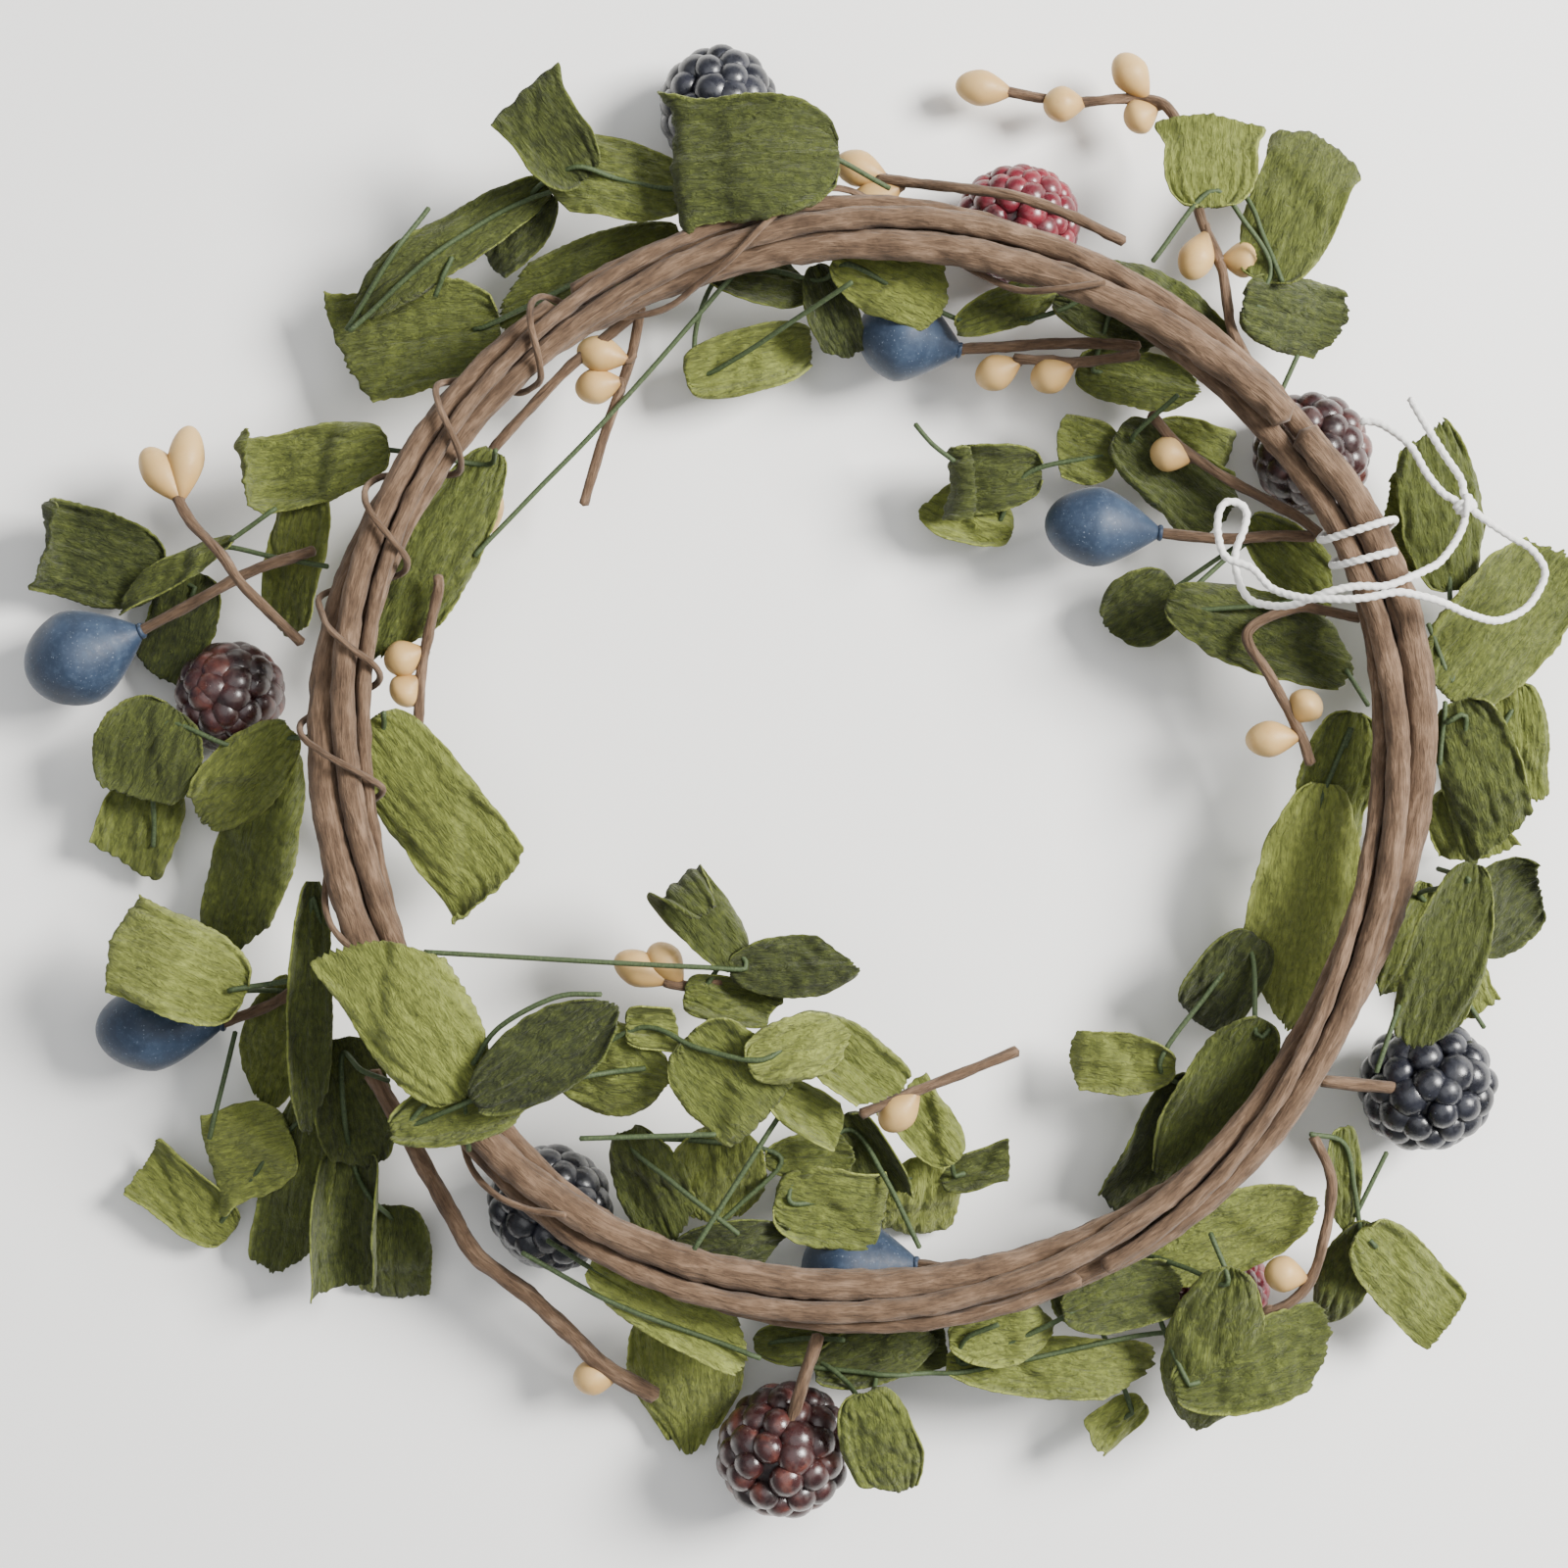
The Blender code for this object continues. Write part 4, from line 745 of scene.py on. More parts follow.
def wire_material(name):
    """Green florist's wire wrapped in thin paper."""
    make = Shader(name, 0.6, 0.3)
    wraps = make.noise(make.coords((8, 3, 1), 0.9), 4.0, 4.0, 0.6)
    colour = make.ramp(wraps, [(0.3, (0.026, 0.040, 0.017)), (0.55, (0.055, 0.080, 0.033)),
                               (0.75, (0.110, 0.140, 0.066))])
    return make.finish(colour, make.ramp(wraps, [(0.3, 0.5), (0.7, 0.75)]),
                       make.relief((wraps, 0.5, 0.0002)))


PAPERS = [
    paper_material("leaf_paper_olive", (0.022, 0.029, 0.005), (0.080, 0.098, 0.015),
                   (0.238, 0.270, 0.054)),
    paper_material("leaf_paper_pale", (0.032, 0.042, 0.007), (0.107, 0.128, 0.021),
                   (0.278, 0.312, 0.068)),
]
PAPER_SLOTS = ["leaf_paper_olive", "leaf_paper_pale"]
BARK = bark_material("crepe_bark", (0.046, 0.026, 0.015), (0.128, 0.078, 0.046),
                     (0.238, 0.154, 0.098), 0.75)
STRING = string_material("cotton_string")
WIRE = wire_material("leaf_wire")
DROP = drop_material("drop_blue")
PIP = pip_material("pip_ochre")
BERRY = {
    "black": berry_material("berry_black", (0.004, 0.004, 0.006), (0.011, 0.012, 0.019),
                            (0.024, 0.025, 0.036), (0.055, 0.060, 0.078)),
    "plum": berry_material("berry_plum", (0.010, 0.004, 0.005), (0.040, 0.012, 0.012),
                           (0.130, 0.038, 0.026), (0.11, 0.075, 0.065)),
    "red": berry_material("berry_red", (0.040, 0.004, 0.007), (0.135, 0.010, 0.020),
                          (0.230, 0.018, 0.030), (0.24, 0.06, 0.065)),
}


# ---- the ring, the tendril that binds it and the hanging string ---------------------------

def crepe_profile(seed, depth):
    """Folds and an overlapping seam that wind along a paper-wrapped stem."""
    pick = np.random.default_rng(seed)
    seam, lean, drift = pick.uniform(0, math.tau), pick.uniform(14, 26), pick.uniform(0, math.tau)

    def profile(turn, run):
        spiral = turn - math.tau * run / lean
        fold = math.sin(2 * spiral + drift + 0.8 * math.sin(run / 7.0))
        ridge = max(0.0, math.cos(spiral - seam)) ** 14
        crinkle = math.sin(5 * turn + run * 1.1 + drift) * math.sin(run * 0.63 + seam)
        return 1.0 + depth * (0.5 * fold + 1.3 * ridge + 0.35 * crinkle)
    return profile


def strand_route(distance, phase, index):
    """A strand once round the ring, its two ends a few degrees apart."""
    start, sweep_angle, steps = 40 + 85 * index, 357.0, 520
    points = []
    for i in range(steps + 1):
        angle = start + sweep_angle * i / steps
        points.append(on_bundle(angle, distance, phase + bundle_twist(angle)) + OFFSET)
    return points


def make_ring():
    """The four twisted strands, each in its crepe paper."""
    for index, (name, thick, distance, phase) in enumerate(STRANDS):
        item = tube(name + "_paper", strand_route(distance, phase, index), thick * STRAND_SHARE,
                    24, crepe_profile(11 + index, 0.10), BARK, ROOT)
        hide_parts(name)


def make_tendril():
    """The thin stem wound round one side of the ring."""
    points, phase = [], 90
    for start, end, turns in TENDRIL_STRETCHES:
        stretch = wound(start, end, turns, TENDRIL_RADIUS, phase)
        points += stretch[1:] if points else stretch
        phase += 360 * turns
    route = smooth_route([point + OFFSET for point in points], 0.0012)
    item = tube("tendril_paper", route, TENDRIL_RADIUS * TENDRIL_SHARE, 10,
                crepe_profile(31, 0.09), BARK, ROOT, 0.6)
    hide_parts("tendril_wrap")


def ply_profile(pitch=3.2):
    """The outline of two plies twisted together."""
    def profile(turn, run):
        return 0.72 + 0.32 * abs(math.cos(turn - math.tau * run / pitch))
    return profile


def string_route():
    """The string's coarse way from one bare end to the other, its knot and the knot's axes."""
    lean = math.radians(KNOT_LEAN)
    ahead = Vector((math.cos(lean), math.sin(lean), 0)) * 1.6 * MM
    aside = Vector((-math.sin(lean), math.cos(lean), 0)) * KNOT_HALF_GAP * MM
    knot = place(KNOT_PLACE)
    points = [place(spot) for spot in FIRST_TAIL]
    points += [knot + aside - ahead, knot + aside + ahead]
    points += [place(spot) for spot in LOOP]
    points += [knot - aside + ahead, knot - aside - ahead]
    points += [place(spot) for spot in SECOND_TAIL]
    return [point + OFFSET for point in smooth_route(points, 0.0046)], knot + OFFSET, ahead, aside


def make_string():
    """The hanging string with its knot, and the tie round the ring."""
    coarse, knot, ahead, aside = string_route()
    route = smooth_route(coarse, 0.0005)
    string = tube("hanger_string_cotton", route, STRING_RADIUS, 16, ply_profile(), STRING, ROOT)
    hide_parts("hanger_string")
    along, across = ahead.normalized(), aside.normalized()
    turns, steps = [], 60
    for i in range(steps + 1):
        swing = math.tau * 2.4 * i / steps
        wide, tall = 1.55 + 0.1 * math.sin(3 * swing), 1.15
        turns.append(knot + across * wide * MM * math.cos(swing)
                     + Vector((0, 0, tall * MM * math.sin(swing)))
                     + along * MM * (1.9 * (i / steps - 0.5) + 0.25 * math.sin(2 * swing)))
    build = Build()
    thread, ply_pitch = 0.62, 2.6
    sweep(build, turns, thread, 12, ply_profile(ply_pitch))
    cross = [knot + along * -1.6 * MM + across * 1.1 * MM + upward(0.9),
             knot + upward(1.7),
             knot + along * 1.6 * MM - across * 1.1 * MM + upward(0.9)]
    sweep(build, smooth_route(cross, 0.0004), thread, 12, ply_profile(ply_pitch))
    tied = build.piece("hanger_knot_cotton", STRING, ROOT)
    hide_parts("hanger_knot")
    half = TIE_TURNS * TIE_PITCH / 2
    turns = wound(TIE_ANGLE - half, TIE_ANGLE + half, TIE_TURNS, STRING_RADIUS, 60, 36)
    tie = tube("hanger_tie_cotton", smooth_route([p + OFFSET for p in turns], 0.0004),
               STRING_RADIUS, 14, ply_profile(), STRING, ROOT)
    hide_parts("hanger_tie")


# ---- berries, drops and pips ---------------------------------------------------------------

def dome_points(count, seed):
    """Directions spread evenly over a ball, a little disturbed."""
    pick = np.random.default_rng(seed)
    golden = math.pi * (3 - math.sqrt(5))
    points = []
    for i in range(count):
        z = 1 - 2 * (i + 0.5) / count
        reach = math.sqrt(1 - z * z)
        jitter = Vector(pick.uniform(-0.07, 0.07, 3))
        points.append((Vector((reach * math.cos(golden * i), reach * math.sin(golden * i), z))
                       + jitter).normalized())
    return points


def round_grid(sides, rings):
    """Directions and faces of a ball made of rings, poles included."""
    corners = [Vector((0, 0, -1))]
    for i in range(1, rings):
        lean = math.pi * i / rings - math.pi / 2
        for j in range(sides):
            turn = math.tau * j / sides
            corners.append(Vector((math.cos(lean) * math.cos(turn),
                                   math.cos(lean) * math.sin(turn), math.sin(lean))))
    corners.append(Vector((0, 0, 1)))
    last = len(corners) - 1
    faces = [[0, 1 + (j + 1) % sides, 1 + j] for j in range(sides)]
    for i in range(rings - 2):
        low, high = 1 + i * sides, 1 + (i + 1) * sides
        for j in range(sides):
            k = (j + 1) % sides
            faces.append([low + j, low + k, high + k, high + j])
    top = 1 + (rings - 2) * sides
    faces += [[top + j, top + (j + 1) % sides, last] for j in range(sides)]
    return corners, faces


def side_coords(corners, faces):
    """Grain coordinates in centimetres, as seen from the side."""
    return [(corners[i][0] * 100, corners[i][2] * 100) for face in faces for i in face]


def drupelets(build, centre, radius, count, size, seed, axis):
    """A cluster of round drupelets pressed together on a core."""
    pick = np.random.default_rng(seed)
    ball, faces = round_grid(14, 10)
    core = [centre + d * (radius - size * 1.05) * MM for d in ball]
    # The core's low tone becomes painted shade between the drupelets in the berry material
    build.add(core, faces, side_coords(core, faces), 0.05)
    for direction in dome_points(count, seed):
        own = size * pick.uniform(0.9, 1.16)
        stretch = 1 - 0.10 * max(0.0, direction.dot(axis)) ** 2
        middle = centre + direction * (radius * stretch - own * 0.95) * MM
        spin = direction.to_track_quat("Z", "Y").to_matrix()
        squash = pick.uniform(0.88, 1.05)
        corners, tones = [], []
        for d in ball:
            bulge = Vector((d.x * squash * 1.14, d.y * 1.14, d.z * 0.92)) * own * MM
            corners.append(middle + spin @ bulge)
            # Tone for painted shade: 0 on the side towards the core and the neighbours, 1 on the outer
            # cap
            tones.append(min(1.0, max(0.0, 0.5 + 0.5 * d.z)))
        build.add(corners, faces, side_coords(corners, faces), tones)


def make_berries():
    """Brambles and raspberries, and the stems of those that stand off the ring."""
    for index, (name, (angle, out), radius, lift, colour, stem) in enumerate(BERRIES):
        centre = at((angle, out, radius + lift))
        body = MOVING.get(name, ROOT)
        axis = Vector((math.cos(index * 1.7), math.sin(index * 1.7), 0.2)).normalized()
        small = colour == "red"
        build = Build()
        drupelets(build, centre, radius, 84 if small else 58, 2.35 if small else 3.0,
                  50 + index, axis)
        item = build.piece(name + "_drupelets", BERRY[colour], body)
        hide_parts(name)
        if stem:
            path = [centre + upward(0.5 * radius)] + [at(spot) for spot in stem]
            tube(name + "_stem", smooth_route(path, 0.001), STEM_RADIUS * BERRY_STEM_SHARE, 12,
                 crepe_profile(60 + index, 0.09), BARK, body, 0.45)


def drawn_points(directions, root, tip, radius, taper):
    """Where these directions of a ball lie once it is drawn out to a point at its root."""
    spin = (tip - root).normalized().to_track_quat("Z", "Y").to_matrix()
    half = (tip - root).length / 2
    points = []
    for d in directions:
        slim = 1 - taper * max(0.0, -d.z + 0.15) ** 1.3 / 1.15 ** 1.3
        points.append(spin @ Vector((d.x * radius * MM * slim, d.y * radius * MM * slim,
                                     d.z * half)) + (root + tip) / 2)
    return points


def drawn_ball(build, root, tip, radius, sides, rings, taper, tone=None):
    """A ball drawn out to a point at its root."""
    ball, faces = round_grid(sides, rings)
    corners = drawn_points(ball, root, tip, radius, taper)
    tones = [0.5 + 0.5 * d.z if tone is None else tone for d in ball]
    build.add(corners, faces, side_coords(corners, faces), tones)


def teardrop_frame(root, tip, radius, taper):
    """A few corners of the solid's own drop, to find how far it was raised."""
    directions = []
    for turn in range(0, 360, 60):
        for z in (-math.sqrt(0.5), 0.0, math.sqrt(0.5)):
            flat = math.sqrt(1 - z * z)
            directions.append(Vector((flat * math.cos(math.radians(turn)),
                                      flat * math.sin(math.radians(turn)), z)))
    return drawn_points(directions, root, tip, radius, taper)


def make_drops():
    """Blue drops, each with a collar, a plug and a wrapped stem."""
    for index, (name, centre, tip, stem, radius) in enumerate(DROPS):
        middle, point = at(centre), at(tip)
        back = middle + (middle - point).normalized() * radius * MM
        route = [at(spot) for spot in stem]
        probe = teardrop_frame(point, back, radius, SOLID_DROP_TAPER) + [route[-1]]
        lift = rise_of(probe, cad_tree(name), DROP_REACH)
        neck = point + lift
        body = MOVING.get(name, ROOT)
        build = Build()
        drawn_ball(build, neck, back + lift, radius, 40, 28, DROP_TAPER)
        item = build.piece(name + "_skin", DROP, body)
        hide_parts(name)
        outward = (point - middle).normalized()
        side = outward.orthogonal().normalized()
        other = outward.cross(side)
        ring, ring_steps = [], 16
        for i in range(ring_steps + 1):
            turn = math.tau * i / ring_steps
            ring.append(neck - outward * 0.5 * MM
                        + (side * math.cos(turn) + other * math.sin(turn)) * 1.1 * MM)
        collar = Build()
        sweep(collar, ring, 0.55, 8, None, 0.5, 0.1)
        collar.piece(name + "_eyelet", DROP, body)
        bead = Build()
        drawn_ball(bead, neck - outward * 1.2 * MM, neck + outward * 1.0 * MM, 0.9, 16, 10, 0.2,
                   0.9)
        bead.piece(name + "_plug", PIP, body)
        path = [neck - outward * 1.0 * MM] + [spot + lift for spot in route]
        tube(name + "_stem", smooth_route(path, 0.001), STEM_RADIUS * DROP_STEM_SHARE, 12,
             crepe_profile(80 + index, 0.1), BARK, body, 0.45)


def make_twigs():
    """The crepe twigs and the loose strand, with their pips."""
    for index, (name, stems, pips) in enumerate([LOOSE_STRAND] + TWIGS):
        radius = LOOSE_STRAND_RADIUS if name == LOOSE_STRAND[0] else TWIG_RADIUS
        probe = [point for root, tip in pips
                 for point in teardrop_frame(at(root), at(tip), PIP_RADIUS, SOLID_PIP_TAPER)]
        lift = rise_of(probe, cad_tree(name), TWIG_REACH)
        body = MOVING.get(name, ROOT)
        wood = Build()
        joints = []
        for serial, stem in enumerate(stems):
            coarse = smooth_route([at(spot) + lift for spot in stem], 0.008)
            joints += coarse
            sweep(wood, smooth_route(coarse, 0.0009), radius * TWIG_SHARE, 12,
                  crepe_profile(100 + 10 * index + serial, 0.11), 0.35)
        skins = Build()
        for serial, (root, tip) in enumerate(pips):
            start, end = at(root) + lift, at(tip) + lift
            nearest = min(joints, key=lambda point: (point - start).length)
            sweep(wood, smooth_route([nearest, start, (start + end) / 2], 0.0009), 0.75, 10,
                  crepe_profile(300 + 10 * index + serial, 0.1), 0.35)
            drawn_ball(skins, start, end, PIP_RADIUS, 22, 16, PIP_TAPER)
        item = wood.piece(name + "_crepe", BARK, body)
        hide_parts(name)
        skins.piece(name + "_pips", PIP, body)


# ---- paper leaves --------------------------------------------------------------------------

def leaf_form(base, tip, width, cup, curl, blunt, serial):
    """The leaf as a surface: point(run, share) in metres, its length and the solid's grid."""
    length = (tip - base).length
    along = (tip - base).normalized()
    up = (Vector((0, 0, 1)) - along * along.z).normalized()
    bank = Matrix.Rotation(math.radians(9 * math.sin(serial * 2.4)), 3, along)
    up = bank @ up
    side = up.cross(along)
    bend = math.radians(curl)
    roll = ROLL_RADIUS * MM
    straight = length - roll * math.sin(min(abs(bend), math.pi / 2))
    whole = straight + roll * abs(bend)
    straight_rows = 3 if length > 0.024 else 2
    curl_rows = math.ceil(abs(curl) / 75)
    stations = [straight * i / straight_rows for i in range(straight_rows + 1)]
    stations += [straight + roll * abs(bend) * (i + 1) / curl_rows for i in range(curl_rows)]
    columns = 2 if abs(cup) < 100 else 3 if abs(cup) < 180 else 4

    def midrib(run):
        arch = 0.05 * length * math.sin(math.pi * min(run / straight, 1.0))
        turn = max(run - straight, 0.0) / roll
        reach = min(run, straight) + roll * math.sin(turn)
        rise = math.copysign(roll * (1 - math.cos(turn)), bend)
        return base + along * reach + up * (arch + rise)

    def point(run, share, stray=0.0, rim=1.0, swell=0.7):
        u = run / whole
        ahead = (midrib(run + 1e-4) - midrib(run - 1e-4)).normalized()
        normal = ahead.cross(side)
        normal = normal if normal.dot(up) * math.cos(min(max(run - straight, 0) / roll, 3)) >= 0 \
            else -normal
        end = 0.22 + (blunt - 0.22) * u
        half = width * MM / 2 * rim * (end + (1 - end) * math.sin(math.pi * u) ** swell
                                       if 0 < u < 1 else end)
        across = share * half
        if abs(cup) > 1:
            hoop = width * MM / math.radians(cup)
            sideways = hoop * math.sin(across / hoop)
            lift = hoop * (1 - math.cos(across / hoop))
        else:
            sideways, lift = across, 0.0
        spot = midrib(run) + side * sideways + normal * (lift + stray)
        ripple = math.sin(2.1 * serial + 260 * spot.x) + math.sin(1.3 * serial + 310 * spot.y)
        return spot + normal * ripple * (0.1 + 0.6 * abs(share)) * MM, across

    return point, whole, stations, columns


LEAF_ROWS, LEAF_COLUMNS = 38, 34


def fine_leaf(build, form, width, blunt, flat_tip, lift, serial):
    """One leaf at full detail: crepe ridges along it, buckled sides and a deckled edge."""
    point, whole, _stations, _columns = form
    pick = np.random.default_rng(1000 + serial)
    ridges = Wave(2000 + serial, [1.2, 1.8, 2.7, 4.4])
    wander = Wave(3000 + serial, [9, 14, 23])
    buckle = Wave(4000 + serial, [10, 15, 21])
    deckle = Wave(5000 + serial, [1.3, 2.1, 4.3, 8.1])
    lean, middle = pick.uniform(-1.6, 1.6), pick.uniform(0.3, 0.75) * whole / MM
    fold = pick.uniform(0.3, 1.0) * pick.choice([-1, 1])
    slant = pick.uniform(-0.15, 0.15)
    swell = 0.42 if blunt >= 0.35 else 0.62
    round_off = 0.03 if blunt >= 0.5 else 0.10
    hook = pick.choice([2.6, -2.0, 1.2]) if flat_tip else 0.0
    curled, side = pick.choice([4.2, -2.4, 1.6]), pick.choice([-1, 1])
    tone = pick.uniform(0.0, 0.9)
    crease = pick.choice([0.42, -0.38, 0.26])
    spread = pick.choice([0.7, 0.25, -0.45])
    top, low, coords_at, tones = [], [], [], []
    thin = LEAF_HALF_THICKNESS * MM
    grid = []
    for i in range(LEAF_ROWS + 1):
        row = []
        for j in range(LEAF_COLUMNS + 1):
            share = 2 * j / LEAF_COLUMNS - 1
            edge = abs(share)
            across = share * width / 2
            torn = 0.022 * float(deckle(1.7 * across, 5.0))
            reach = 1 - round_off * share ** 2 + slant * share - 0.8 * abs(slant) + torn
            run = whole * i / LEAF_ROWS * reach
            mm_run = run / MM
            u = run / whole
            rim = 1 + 0.035 * float(deckle(mm_run, 31 * (share > 0)))
            rim *= 1 + 0.10 * (1 - math.sin(math.pi * min(max(u, 0.0), 1.0)) ** 0.5)
            rim *= 1 + spread * max(0.0, min((u - 0.6) / 0.4, 1.0)) ** 2
            stray = 0.42 * float(ridges(across + 1.8 * float(wander(mm_run, across)),
                                        mm_run * 0.3))
            stray += 1.25 * edge ** 2.2 * float(buckle(mm_run, 5 * across))
            stray += crease * math.exp(-(across / 0.5) ** 2)
            stray += fold * math.tanh((mm_run - middle + lean * across) / 1.3) * (1 - edge ** 4)
            stray += hook * max(0.0, (u - 0.7) / 0.3) ** 2
            stray += curled * max(0.0, side * share - 0.35) ** 2
            spot, flat = point(min(max(run, 0.0), whole), share, stray * MM, rim, swell)
            row.append(spot + lift)
            coords_at.append((mm_run / 10 + serial * 3.1, flat / MM / 10 + serial * 1.7))
            tones.append(tone + 0.45 * max(0.0, edge - 0.93) / 0.07)
        grid.append(row)
    across_count = LEAF_COLUMNS + 1
    for i in range(LEAF_ROWS + 1):
        for j in range(across_count):
            ahead = grid[min(i + 1, LEAF_ROWS)][j] - grid[max(i - 1, 0)][j]
            aside = grid[i][min(j + 1, LEAF_COLUMNS)] - grid[i][max(j - 1, 0)]
            normal = ahead.cross(aside).normalized()
            top.append(grid[i][j] + normal * thin)
            low.append(grid[i][j] - normal * thin)
    count = len(top)
    faces, coords = [], []

    def quad(a, b, c, d):
        faces.append([a, b, c, d])
        coords.extend(coords_at[k % count] for k in (a, b, c, d))

    for i in range(LEAF_ROWS):
        for j in range(LEAF_COLUMNS):
            a, b = i * across_count + j, i * across_count + j + 1
            c, d = b + across_count, a + across_count
            quad(a, d, c, b)
            quad(a + count, b + count, c + count, d + count)
    rim = list(range(LEAF_COLUMNS))
    rim += [i * across_count + LEAF_COLUMNS for i in range(LEAF_ROWS)]
    rim += [LEAF_ROWS * across_count + j for j in range(LEAF_COLUMNS, 0, -1)]
    rim += [i * across_count for i in range(LEAF_ROWS, 0, -1)]
    for a, b in zip(rim, rim[1:] + rim[:1]):
        quad(a, b, b + count, a + count)
    build.add(top + low, faces, coords, tones + tones)


def wire_route(root, starts, tree):
    """The spray's wire as the solid has it, raised and dipped to pass its neighbours."""
    least, best, far = 1e9, None, 0.004
    for lift in range(-WIRE_REACH, WIRE_REACH + 1):
        path = [root + upward(lift)] + starts
        for dip in (0, -3, 3, -6, 6, -9, 9, -12, 12, -16, 16):
            route = [path[0]]
            for here, ahead in zip(path, path[1:]):
                if dip and (ahead - here).length > 0.006:
                    route.append((here + ahead) / 2 + upward(dip))
                route.append(ahead)
            coarse = smooth_route(route, 0.012)
            miss = sum(min(tree.find(point)[2], far) for point in coarse) / len(coarse)
            if miss < least - 1e-6:
                least, best = miss, coarse
    return best


# How far a wire lies lower than its solid, where a stem that bends passes close over it
WIRE_SUNK = {"under_string": 0.4}


def make_sprays():
    """Sprays of leaves, each with its wire; gives back the pieces of paper."""
    leaves = []
    for index, (place_name, root, rows) in enumerate(SPRAYS):
        name = "leaf_spray_" + place_name
        material, slot = PAPERS[index % 2], PAPER_SLOTS[index % 2]
        tree = cad_tree(name)
        paper = Build()
        starts = []
        for serial, (base, tip, width, cup, curl, blunt) in enumerate(rows):
            start, end = at(base), at(tip)
            number = 10 * index + serial
            form = leaf_form(start - OFFSET, end - OFFSET, width, cup, curl, blunt, number)
            point, _whole, stations, columns = form
            probe = [point(run, 2 * j / columns - 1)[0] + OFFSET for run in stations
                     for j in range(columns + 1)]
            lift = rise_of(probe, tree, LEAF_REACH)
            fine_leaf(paper, form, width, blunt, curl == 0, OFFSET + lift, number)
            starts.append(point(0.003, 0.0)[0] + OFFSET + lift)
            if serial == len(rows) - 1:
                starts.append(starts[-1] + (end - start).normalized() * 0.002)
        item = paper.piece(name + "_paper", material, ROOT)
        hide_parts(name)
        leaves.append(item)
        sunk = upward(WIRE_SUNK.get(place_name, 0.0))
        route = [spot - sunk for spot in wire_route(at(root), starts, tree)]
        tube(name + "_wire", smooth_route(route, 0.0015), WIRE_RADIUS * LEAF_WIRE_SHARE, 8,
             None, WIRE, ROOT)
    return leaves


# Ends of wire beyond or along the leaves: name, height where no leaf lies under it, and its way
# as angles and distances out
LOOSE_WIRES = [
    ("top_left", 25, [(140.2, 30.4), (134.1, 32.3), (128.3, 35.4)]),
    ("top_leaf", 30, [(140.1, 29.3), (128.7, 27.0), (119.5, 24.1), (109.7, 13.3)]),
    ("top_cross", 20, [(129.4, 24.7), (132.8, 21.7)]),
    ("long_inner", 20, [(105.4, -2.9), (118.4, -13.7), (130.7, -17.9), (140.3, -17.9),
                        (152.1, -14.9)]),
    ("inner_top", 18, [(82.0, -34.3), (78.6, -37.5), (74.0, -39.7)]),
    ("right_upper", 20, [(11.1, -6.8), (6.6, -3.6)]),
    ("right_outer", 18, [(6.1, 9.3), (359.9, 8.1)]),
    ("right_low", 12, [(338.7, 25.4), (336.9, 31.3)]),
    ("right_berry", 22, [(335.4, 8.4), (328.6, 10.5)]),
    ("right_curl", 14, [(323.2, 24.6), (317.2, 27.8)]),
    ("raised_a", 44, [(217.1, -8.7), (215.4, -16.6), (216.6, -28.2), (220.6, -35.0)]),
    ("raised_b", 44, [(225.6, -19.3), (233.5, -30.3)]),
    ("raised_c", 42, [(232.2, -13.2), (247.2, -26.4)]),
    ("drop_left", 12, [(203.0, 32.7), (209.7, 46.4)]),
    ("left_roll", 12, [(182.0, 38.1), (186.6, 39.9)]),
    ("left_drop", 18, [(160.7, 28.9), (156.7, 22.7)]),
    ("low_left", 18, [(234.7, 13.4), (242.1, 12.7), (249.7, 12.6), (259.7, 14.4)]),
    ("low_right", 18, [(263.8, 16.4), (276.7, 17.6), (283.8, 18.0), (297.9, 22.5)]),
    ("top_right", 18, [(58.7, 29.8), (55.4, 28.9), (52.6, 25.2), (49.3, 20.9)]),
    ("top_right_low", 20, [(43.5, 13.5), (41.4, 4.2)]),
]
# A height over every piece, in metres, and how often a wire's heights are smoothed
ABOVE_ALL = 0.075
SMOOTHING_ROUNDS = 4


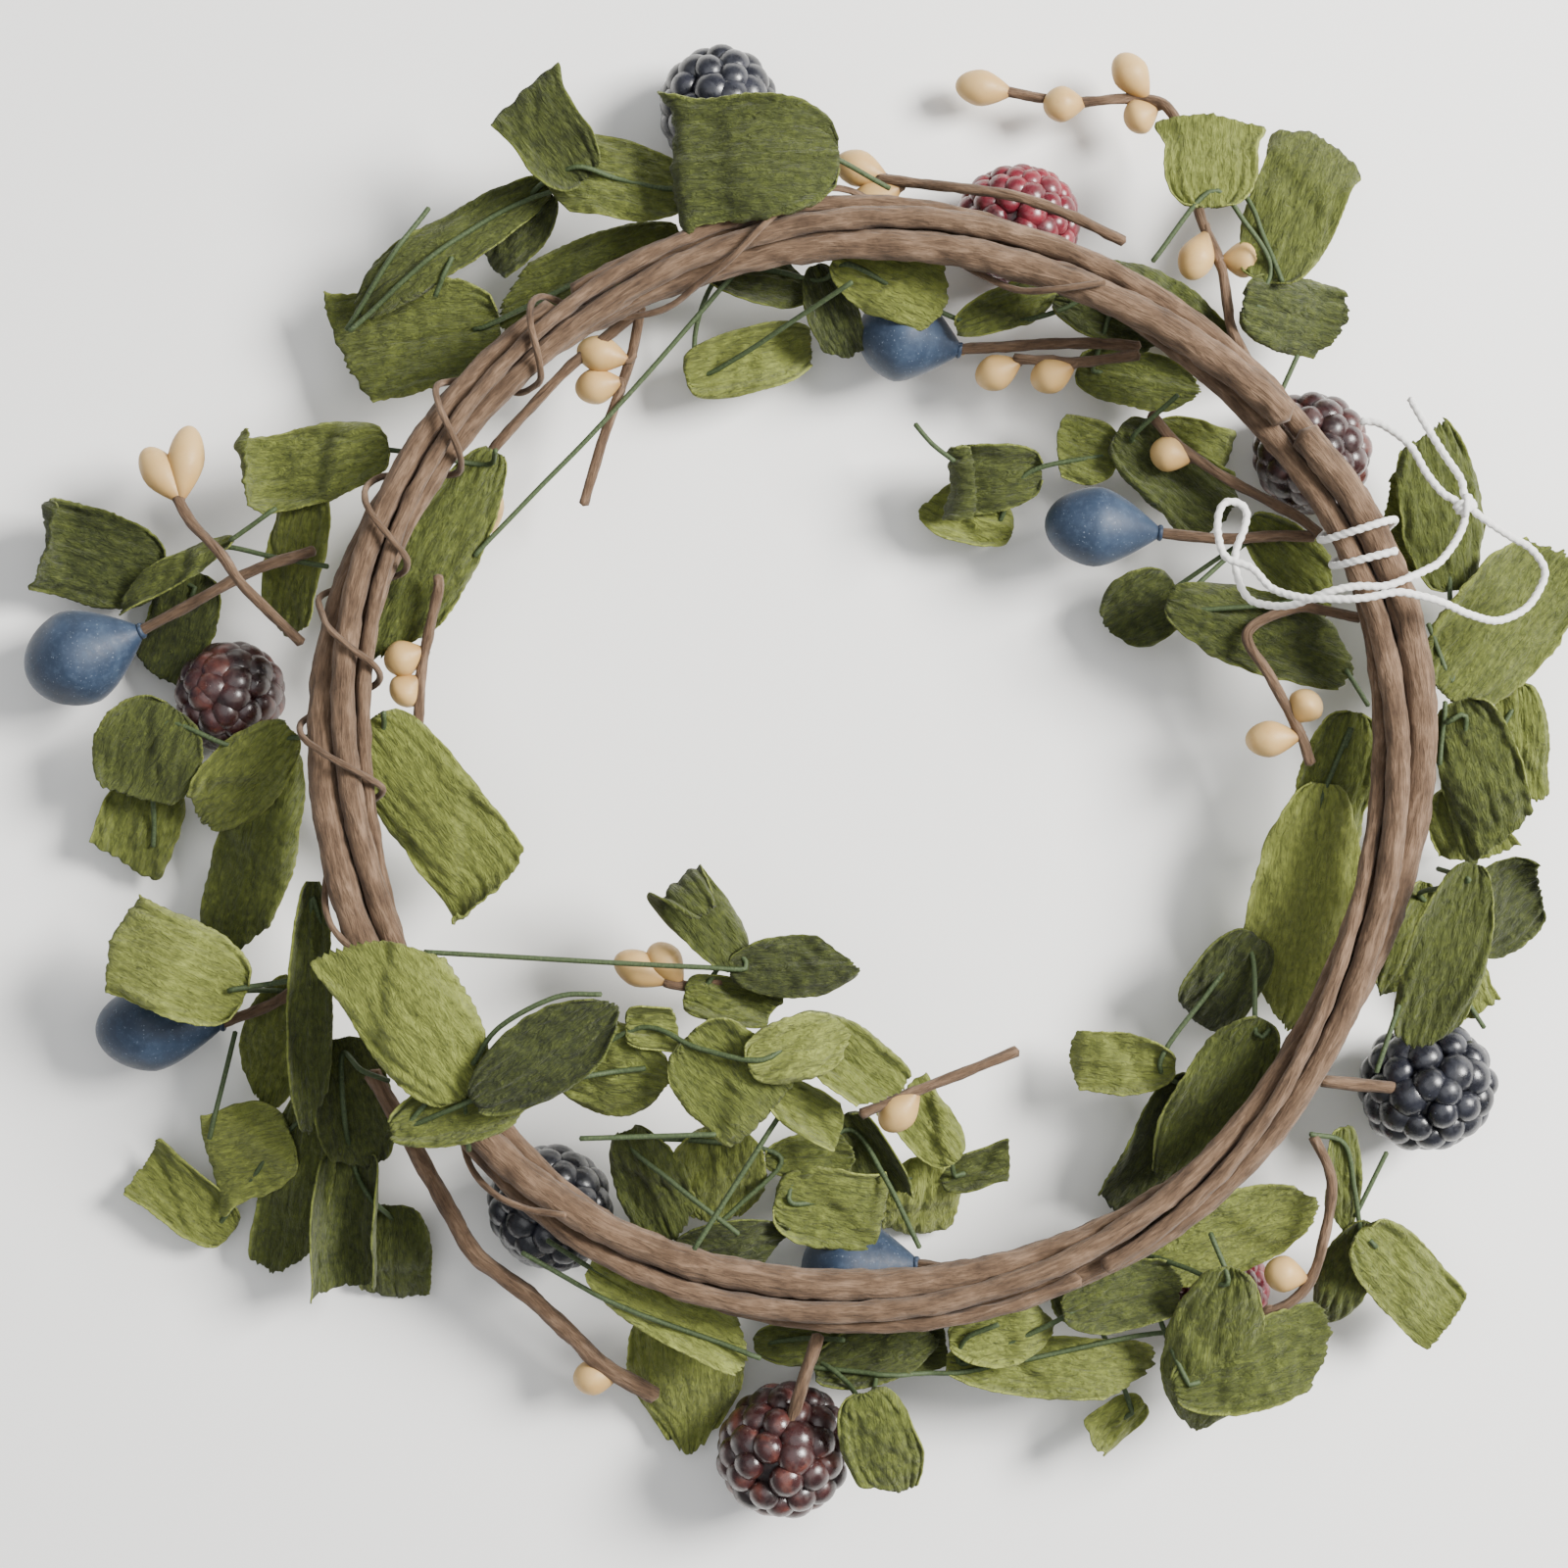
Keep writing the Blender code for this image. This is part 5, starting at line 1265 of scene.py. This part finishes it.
def make_loose_wires(leaves):
    """Wires that lie on the backs of the leaves, each at the height of the leaf under it."""
    trees = []
    for item in leaves:
        mesh = item.data
        trees.append(BVHTree.FromPolygons([v.co for v in mesh.vertices],
                                          [list(f.vertices) for f in mesh.polygons]))
    for name, height, way in LOOSE_WIRES:
        flat = smooth_route([at((angle, out, height)) for angle, out in way], 0.002)
        heights = []
        for spot in flat:
            above = Vector((spot.x, spot.y, ABOVE_ALL))
            hits = [tree.ray_cast(above, Vector((0, 0, -1)))[0] for tree in trees]
            tops = [hit.z for hit in hits if hit is not None]
            heights.append(max(tops) if tops else None)
        known = [h for h in heights if h is not None]
        level, stray = sorted(known)[len(known) // 2] if known else height * MM, 0.004
        heights = [level if h is None else min(max(h, level - stray), level + stray)
                   for h in heights]
        for _round in range(SMOOTHING_ROUNDS):
            heights = [max(h, 0.5 * (heights[max(i - 1, 0)]
                                     + heights[min(i + 1, len(heights) - 1)]))
                       for i, h in enumerate(heights)]
        route = [Vector((spot.x, spot.y, h + 0.35 * MM)) for spot, h in zip(flat, heights)]
        tube("loose_wire_" + name, smooth_route(route, 0.0012), LOOSE_WIRE_RADIUS, 8, None,
             WIRE, ROOT)


# ---- floor, camera and lights --------------------------------------------------------------

CAMERA_VIEW = 28.1
CAMERA_PLACE = (-0.0041, -0.0008, 0.62)
SENSOR = 36.0


def make_floor(reach=12.0):
    """A plain pale floor that reaches past every view."""
    mesh = bpy.data.meshes.new("floor")
    mesh.from_pydata([(-reach, -reach, 0), (reach, -reach, 0), (reach, reach, 0),
                      (-reach, reach, 0)], [], [(0, 1, 2, 3)])
    make = Shader("pale_floor", 0.9, 0.2)
    make.shader.inputs["Base Color"].default_value = (0.93, 0.925, 0.905, 1.0)
    mesh.materials.append(make.material)
    floor = add_object("floor", mesh)


def add_light(name, spot, target, size, power, colour):
    """A square light at a spot, turned to its target."""
    data = bpy.data.lights.new(name, "AREA")
    data.size = size
    data.energy = power
    data.color = colour
    lamp = add_object(name, data)
    lamp.location = spot
    lamp.rotation_euler = (Vector(target) - Vector(spot)).to_track_quat("-Z", "Y").to_euler()


def make_studio():
    """A window to the right, a soft light overhead and pale air all round."""
    make_floor()
    add_light("window", (0.95, 0.35, 0.95), (0, 0, 0.02), 0.5, 56.0, (1.0, 0.985, 0.955))
    add_light("overhead", (-0.1, 0.1, 1.6), (0, 0, 0), 1.8, 14.0, (0.98, 0.99, 1.0))
    world = bpy.data.worlds.new("studio")
    world.use_nodes = True
    air = world.node_tree.nodes["Background"]
    air.inputs["Color"].default_value = (0.96, 0.98, 1.0, 1.0)
    air.inputs["Strength"].default_value = 0.32
    bpy.context.scene.world = world


def make_camera():
    """A camera straight above the wreath."""
    data = bpy.data.cameras.new("camera")
    data.sensor_width = SENSOR
    data.lens = SENSOR / 2 / math.tan(math.radians(CAMERA_VIEW / 2))
    data.clip_start = 0.01
    camera = add_object("camera", data)
    camera.location = CAMERA_PLACE
    bpy.context.scene.camera = camera


make_studio()
make_camera()
make_string()
make_ring()
make_tendril()
make_berries()
make_drops()
make_twigs()
make_loose_wires(make_sprays())
